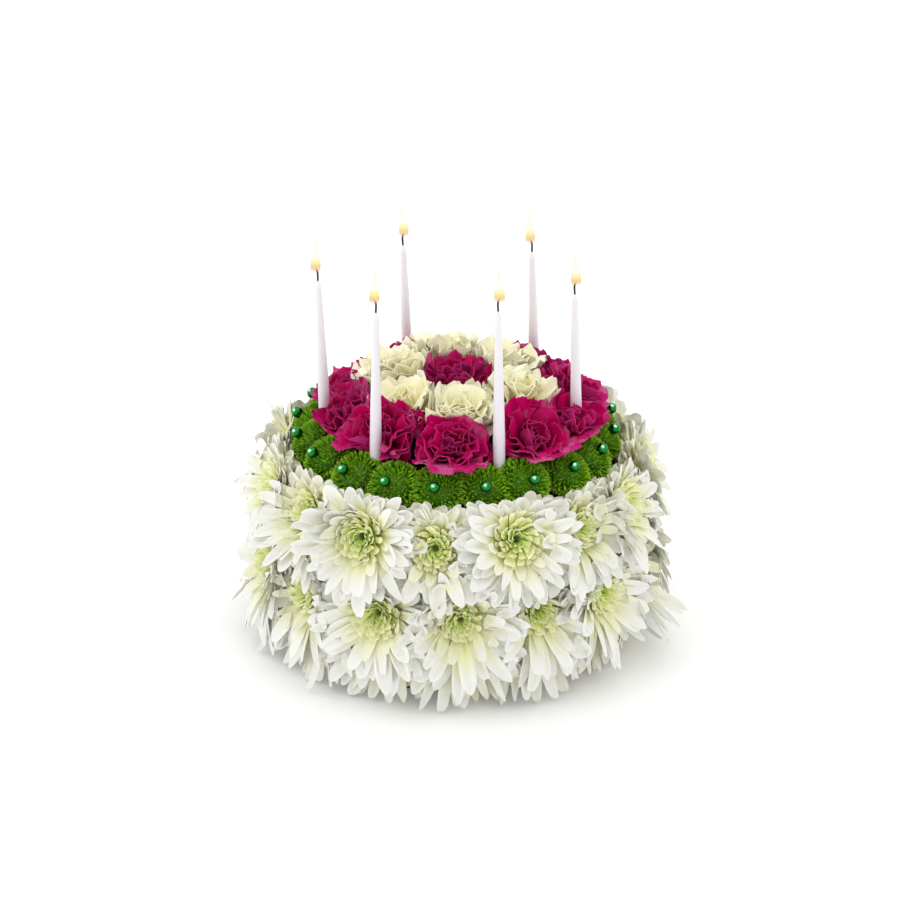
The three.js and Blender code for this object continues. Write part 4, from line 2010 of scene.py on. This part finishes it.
@dataclass(frozen=True)
class CarnationRing:
    """A ring of like carnations, or the one in the middle.

    Attributes:
        name: The solids that they stand for, but for the number.
        count: How many there are.
        phase: The first one's azimuth.
        radius: The circle that their faces stand on.
        height: The height of that circle.
        tilt: How far they lean out, in degrees.
        size: A flower's own radius.
        seed: What their draws start from.
        slot: The record's material slot.
        sag: How much lower the one at the back stands.
        eased: How far each is eased out, turned on round the cake and raised, in metres, degrees and metres.
        brims: How far from the cake's axis each one's petals may reach.
        rounds: The petals of each.
    """

    name: str
    count: int
    phase: float
    radius: float
    height: float
    tilt: float
    size: float
    seed: int
    slot: str
    sag: float = 0.0
    eased: tuple[Triple, ...] = ((0.0, 0.0, 0.0),)
    brims: tuple[float, ...] = (0.084,)
    rounds: tuple[Whorl, ...] = Carnation.rounds

    def places(self) -> list[FlowerFrame]:
        """Where each flower's face is."""
        draws = np.random.default_rng(self.seed)
        made = []
        for i, azimuth in enumerate(ring_azimuths(self.count, self.phase)):
            out, turn, lift = self.eased[i % len(self.eased)]
            lift -= self.sag * (0.5 - 0.5 * math.cos(math.radians(azimuth))) ** 3
            made.append(
                FlowerFrame.facing(
                    azimuth + turn,
                    self.radius + out,
                    self.height + lift + 0.001 * draws.uniform(-1, 1),
                    90 - self.tilt + 4 * draws.uniform(-1, 1),
                )
            )
        return made

    def build(self, bed: Bed, finish: Material) -> None:
        """Builds and dresses the ring.

        Args:
            bed: What its flowers are grown from and among.
            finish: The petals' finish.
        """
        for i, place in enumerate(self.places()):
            name = self.name if self.count == 1 else f"{self.name}_{i + 1}"
            brim = self.brims[i % len(self.brims)]
            flower = Carnation(name, place, self.size, self.seed * 100 + i, brim, rounds=self.rounds)
            settle(flower.build(bed), finish, self.slot, name)


# ---- the tapers ----


@dataclass(frozen=True)
class Taper:
    """One slim candle, its bent wick and its flame.

    Attributes:
        number: Which candle it is.
        azimuth: Where on the circle it stands.
        lean: How far it leans towards +X, in degrees.
        top: The height of its wax.
        flame: The flame's height.
        flame_width: The flame's radius.
        hook: Which way the wick bends, 1 towards +X.
        tucked: Whether petals stand before its foot too.
        circle: The circle that the tapers stand on.
        length: The wax's length.
        straight: How much of it doesn't narrow.
        radius: Its radius there.
        tip: Its radius at the shoulder.
        cone: The height of its cone.
        wick: The wick's radius.
        wick_height: How high the wick stands.
    """

    number: int
    azimuth: float
    lean: float
    top: float
    flame: float
    flame_width: float
    hook: float
    tucked: bool = False
    circle: float = 0.068
    length: float = 0.122
    straight: float = 0.049
    radius: float = 0.0032
    tip: float = 0.0017
    cone: float = 0.003
    wick: float = 0.00055
    wick_height: float = 0.008

    def line(self) -> CandleLine:
        """The line that it stands on."""
        lean = math.radians(self.lean)
        foot = outward(self.azimuth) * self.circle + Z * (self.top - self.length)
        return CandleLine(foot, np.array([math.sin(lean), 0.0, math.cos(lean)]), self.length, self.tucked)

    def stood(self, points: Array) -> Array:
        """Stands points given along +Z from the foot on the taper's line."""
        lean = math.radians(self.lean)
        turned = points.copy()
        turned[:, 0] = points[:, 0] * math.cos(lean) + points[:, 2] * math.sin(lean)
        turned[:, 2] = points[:, 2] * math.cos(lean) - points[:, 0] * math.sin(lean)
        return turned + self.line().foot

    def drawn(
        self, name: str, sides: int, rings: Sequence[Triple], pointed: bool = True
    ) -> Piece:
        """Models a stem of rings by extruding and resizing a circle.

        Args:
            name: The piece's name.
            sides: How many sides it has.
            rings: Each ring's height, radius and shift towards +X.
            pointed: Whether it ends in a point.

        Returns:
            The piece, standing on the taper's line, mapped from its foot at 0 to its end at 1.
        """
        deselect_all()
        height, radius, shift = rings[0]
        bpy.ops.mesh.primitive_circle_add(
            vertices=sides, radius=radius, fill_type="NGON", location=(shift, 0.0, height)
        )
        bpy.ops.object.transform_apply(location=True, rotation=False, scale=False)
        edit_all()
        for next_height, next_radius, next_shift in rings[1:]:
            move = (next_shift - shift, 0.0, next_height - height)
            bpy.ops.mesh.extrude_region_move(TRANSFORM_OT_translate={"value": move})
            grow = next_radius / radius
            bpy.ops.transform.resize(value=(grow, grow, 1.0), center_override=(next_shift, 0.0, next_height))
            height, radius, shift = next_height, next_radius, next_shift
        stock = close_form(pointed)
        low, high = stock.points[:, 2].min(), stock.points[:, 2].max()
        posy = Posy(name)
        posy.add_core(stock, self.stood(stock.points), along=(stock.points[:, 2] - low) / (high - low))
        return posy.build(sharp=50.0)

    def wax(self) -> Piece:
        """Models the wax, softened to a small shoulder and cone round the wick."""
        neck = self.length - self.cone
        rings = [(0.0, self.radius, 0.0), (self.straight, self.radius, 0.0)]
        rings += [
            (self.straight + (neck - self.straight) * t, self.radius + (self.tip - self.radius) * t**1.1, 0.0)
            for t in (0.25, 0.5, 0.75, 0.93)
        ]
        shoulder = ((-0.0006, 1.06), (0.0002, 0.98), (0.0009, 0.72), (0.0018, 0.48))
        rings += [(neck + up, self.tip * share, 0.0) for up, share in shoulder]
        rings.append((self.length, self.wick * 1.1, 0.0))
        return self.drawn(f"candle_{self.number}_wax", 28, rings, pointed=False)

    def burnt_wick(self) -> Piece:
        """Models the wick, which bends over in the flame."""
        base = self.length - self.cone / 2
        steps = [
            (0.0, 0.0), (0.2, -0.02), (0.4, -0.08), (0.58, -0.1),
            (0.74, 0.02), (0.86, 0.28), (0.94, 0.62), (1.0, 0.95),
        ]
        rise, aside = self.wick_height + self.cone / 2, self.hook * 0.0017

        def thickness(t: float) -> float:
            """The wick's radius, as a share: it swells where it is charred, then thins."""
            return 1.0 if t < 0.9 else 1.15 - 0.4 * (t - 0.9) / 0.1

        rings = [(base + rise * t, self.wick * thickness(t), aside * x) for t, x in steps]
        return self.drawn(f"candle_{self.number}_wick", 10, rings)

    def fire(self) -> Piece:
        """Models the flame round the wick's end."""
        round_wick = 0.0028
        base = self.length + self.wick_height - round_wick
        shift = self.hook * 0.0008
        outline = [
            (0.0, 0.72), (0.04, 0.9), (0.1, 0.99), (0.18, 1.0), (0.28, 0.94), (0.4, 0.84), (0.52, 0.74),
            (0.64, 0.62), (0.76, 0.48), (0.87, 0.34), (0.95, 0.2), (1.0, 0.06),
        ]
        rings = [(base + self.flame * t, self.flame_width * r, shift * (1 - t * 0.6)) for t, r in outline]
        return self.drawn(f"candle_{self.number}_flame", 20, rings)

    def build(self, wax: Material, wick: Material, flame: Material) -> None:
        """Builds and dresses the candle.

        Args:
            wax: The wax's finish.
            wick: The wick's finish.
            flame: The flame's finish.
        """
        settle(self.wax(), wax, "wax", f"candle_{self.number}")
        settle(self.burnt_wick(), wick, "wick")
        settle(self.fire(), flame, "flame")


# ---- the studio ----


@dataclass(frozen=True)
class Softbox:
    """A square light: where it hangs, its side, its power in watts and its colour."""

    name: str
    place: Triple
    size: float
    power: float
    tint: Colour = (1.0, 1.0, 1.0)

    def hang(self, aim: Vector) -> None:
        """Hangs it, turned to a point."""
        data = bpy.data.lights.new(self.name, "AREA")
        data.size, data.energy, data.color = self.size, self.power, self.tint
        light = put_in_scene(self.name, data)
        light.location = self.place
        light.rotation_euler = (aim - Vector(self.place)).to_track_quat("-Z", "Y").to_euler()


@dataclass(frozen=True)
class Studio:
    """A white table in a white world, soft lights, and the camera.

    Attributes:
        aim: The point that the lights and the camera look at.
        distance: How far the camera is from it.
        elevation: How far above level the camera is, in degrees.
        lens: Its focal length, in millimetres.
        world: How bright the world is as a light. The camera sees it at 1.
        table_glow: How much the table shines of itself.
        softboxes: The lights.
    """

    aim: Triple = (-0.003, 0.0, 0.105)
    distance: float = 2.2
    elevation: float = 24.5
    lens: float = 163.9
    world: float = 0.9
    table_glow: float = 0.14
    softboxes: tuple[Softbox, ...] = (
        Softbox("key", (-2.0, -0.15, 1.1), 2.2, 9.3, (0.95, 0.975, 1.0)),
        Softbox("top", (0.2, 0.1, 2.0), 1.4, 4.2),
        Softbox("fill", (1.7, 0.5, 0.8), 1.4, 2.2),
        Softbox("spark_left", (-0.85, -0.75, 1.8), 0.2, 1.2),
        Softbox("spark_right", (0.75, -0.75, 1.8), 0.2, 0.9),
    )

    def floor(self) -> None:
        """Lays the table."""
        deselect_all()
        bpy.ops.mesh.primitive_plane_add(size=12.0, location=(0.0, 0.0, -0.0005))
        floor = bpy.context.object
        floor.name = "table"
        bpy.ops.object.transform_apply(location=True, rotation=False, scale=False)
        material, wiring, shader = new_material("table")
        wiring.give(shader, {
            "Base Color": (0.96, 0.96, 0.96),
            "Roughness": 0.9,
            "Specular IOR Level": 0.1,
            "Emission Color": (1.0, 1.0, 1.0),
            "Emission Strength": self.table_glow,
        })
        floor.data.materials.append(material)

    def lights(self) -> None:
        """Hangs the lights and whitens the world."""
        world = bpy.data.worlds.new("studio")
        bpy.context.scene.world = world
        world.use_nodes = True
        wiring = Wiring(world.node_tree)
        back = wiring.put("ShaderNodeBackground")
        back.inputs["Color"].default_value = (1.0, 1.0, 1.0, 1.0)
        camera_ray = wiring.put("ShaderNodeLightPath").outputs["Is Camera Ray"]
        seen = wiring.math("MULTIPLY", camera_ray, 1.0 - self.world)
        wiring.feed(back.inputs["Strength"], wiring.math("ADD", seen, self.world))
        wiring.feed(wiring.put("ShaderNodeOutputWorld").inputs["Surface"], back.outputs[0])
        for softbox in self.softboxes:
            softbox.hang(Vector(self.aim))
        bpy.context.scene.view_settings.view_transform = "Standard"

    def camera(self) -> None:
        """Sets the camera up."""
        data = bpy.data.cameras.new("camera")
        data.lens = self.lens
        data.sensor_width = 36.0
        camera = put_in_scene("camera", data)
        lift = math.radians(self.elevation)
        back = Vector((0.0, -math.cos(lift), math.sin(lift)))
        camera.location = Vector(self.aim) + back * self.distance
        camera.rotation_euler = (-back).to_track_quat("-Z", "Y").to_euler()
        bpy.context.scene.camera = camera

    def build(self) -> None:
        """Makes the table, the lights and the camera."""
        self.floor()
        self.lights()
        self.camera()


# ---- the whole cake ----

LOWER_TIER = MumTier(
    Tier.LOWER,
    (1.5, 25.5, 49.0, 73.0, 97.5, 121.5, 145.5, 169.5, 193.5, 217.5, 241.5, 265.5, 286.5, 309.0, 336.5),
    radius=0.101, height=0.053, tilt=8.0, droop=1.32, seed=5, crests=(0.85, 0.0),
)
UPPER_TIER = MumTier(
    Tier.UPPER,
    (-6.0, 18.5, 40.5, 61.5, 88.5, 114.5, 138.5, 162.5, 186.5, 210.5, 234.5, 258.5, 283.5, 309.0, 331.5),
    radius=0.0995, height=0.098, tilt=18.0, droop=1.05, seed=6, crests=(0.14, 0.28), dip=0.0028,
)
OUTER_CARNATIONS = CarnationRing(
    "carnation_magenta", 10, phase=-3.0, radius=0.0585, height=0.1335, tilt=39.0, size=0.0222,
    seed=11, slot="magenta_petal", sag=0.005,
    eased=(
        (0.002, 2.0, -0.001), (0.005, 6.0, -0.001), (0.007, -2.0, -0.003), (0.006, -4.0, -0.001),
        (0.004, -3.0, 0.0), (0.001, -1.0, 0.0), (0.001, 0.0, 0.0), (0.002, 1.0, -0.002),
        (0.003, 1.0, -0.003), (0.002, -1.0, 0.0),
    ),
    brims=(0.0905, 0.088, 0.086, 0.086, 0.084, 0.082, 0.082, 0.08, 0.08, 0.0875),
)
INNER_CARNATIONS = CarnationRing(
    "carnation_cream", 6, phase=8.0, radius=0.032, height=0.146, tilt=20.0, size=0.0212,
    seed=12, slot="cream_petal",
    eased=(
        (0.001, -2.0, -0.005), (0.005, 3.0, -0.004), (0.004, 6.0, -0.001),
        (0.0, 0.0, 0.001), (0.002, 4.0, -0.001), (0.004, 4.0, -0.004),
    ),
    rounds=Carnation.BROAD,
)
CENTRE_CARNATION = CarnationRing(
    "carnation_centre", 1, phase=0.0, radius=0.0, height=0.1455, tilt=4.0, size=0.0212,
    seed=13, slot="magenta_petal",
)
# Each taper's number, azimuth, lean, top, flame, flame_width and hook.
TAPERS = (
    Taper(1, -38.0, 0.4, 0.207, 0.018, 0.0027, -1.0),
    Taper(2, 20.0, -0.6, 0.212, 0.0172, 0.0028, 1.0),
    Taper(3, 74.0, -1.3, 0.203, 0.016, 0.0027, 1.0, tucked=True),
    Taper(4, 139.0, -1.5, 0.199, 0.018, 0.0026, -1.0),
    Taper(5, -159.0, -1.8, 0.198, 0.0175, 0.0026, 1.0),
    Taper(6, -88.0, -2.1, 0.204, 0.018, 0.0027, -1.0),
)


def main() -> None:
    """Builds the cake from the foam up, then the studio."""
    logging.basicConfig(level=logging.INFO, format="%(message)s")
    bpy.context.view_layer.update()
    deselect_all()

    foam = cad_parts["foam_core"]
    foam.data.materials.clear()
    foam.data.materials.append(FoamFinish().material())
    log.info("foam_core: dressed")

    poms, candles = PomRing(), [taper.line() for taper in TAPERS]
    stocks = MumStocks.model()
    white, heart = WHITE_PETAL.material(), MUM_HEART.material()
    for tier in (LOWER_TIER, UPPER_TIER):
        tier.build(stocks, poms, white, heart)

    poms.build(GREEN_POM.material(), PearlFinish().material(), candles)

    sheet, core = fan_sheet(columns=Carnation.columns, rows=7), ball(segments=12, rings=8)
    magenta, cream = MAGENTA_PETAL.material(), CREAM_PETAL.material()
    rings = ((OUTER_CARNATIONS, magenta), (INNER_CARNATIONS, cream), (CENTRE_CARNATION, magenta))
    crowd = Crowd(tuple(place for ring, _ in rings for place in ring.places()))
    bed = Bed(sheet, core, crowd, candles, poms)
    for ring, finish in rings:
        ring.build(bed, finish)

    wax, wick, flame = WaxFinish().material(), WickFinish().material(), FlameFinish().material()
    for taper in TAPERS:
        taper.build(wax, wick, flame)

    Studio().build()


if __name__ == "__main__":
    main()
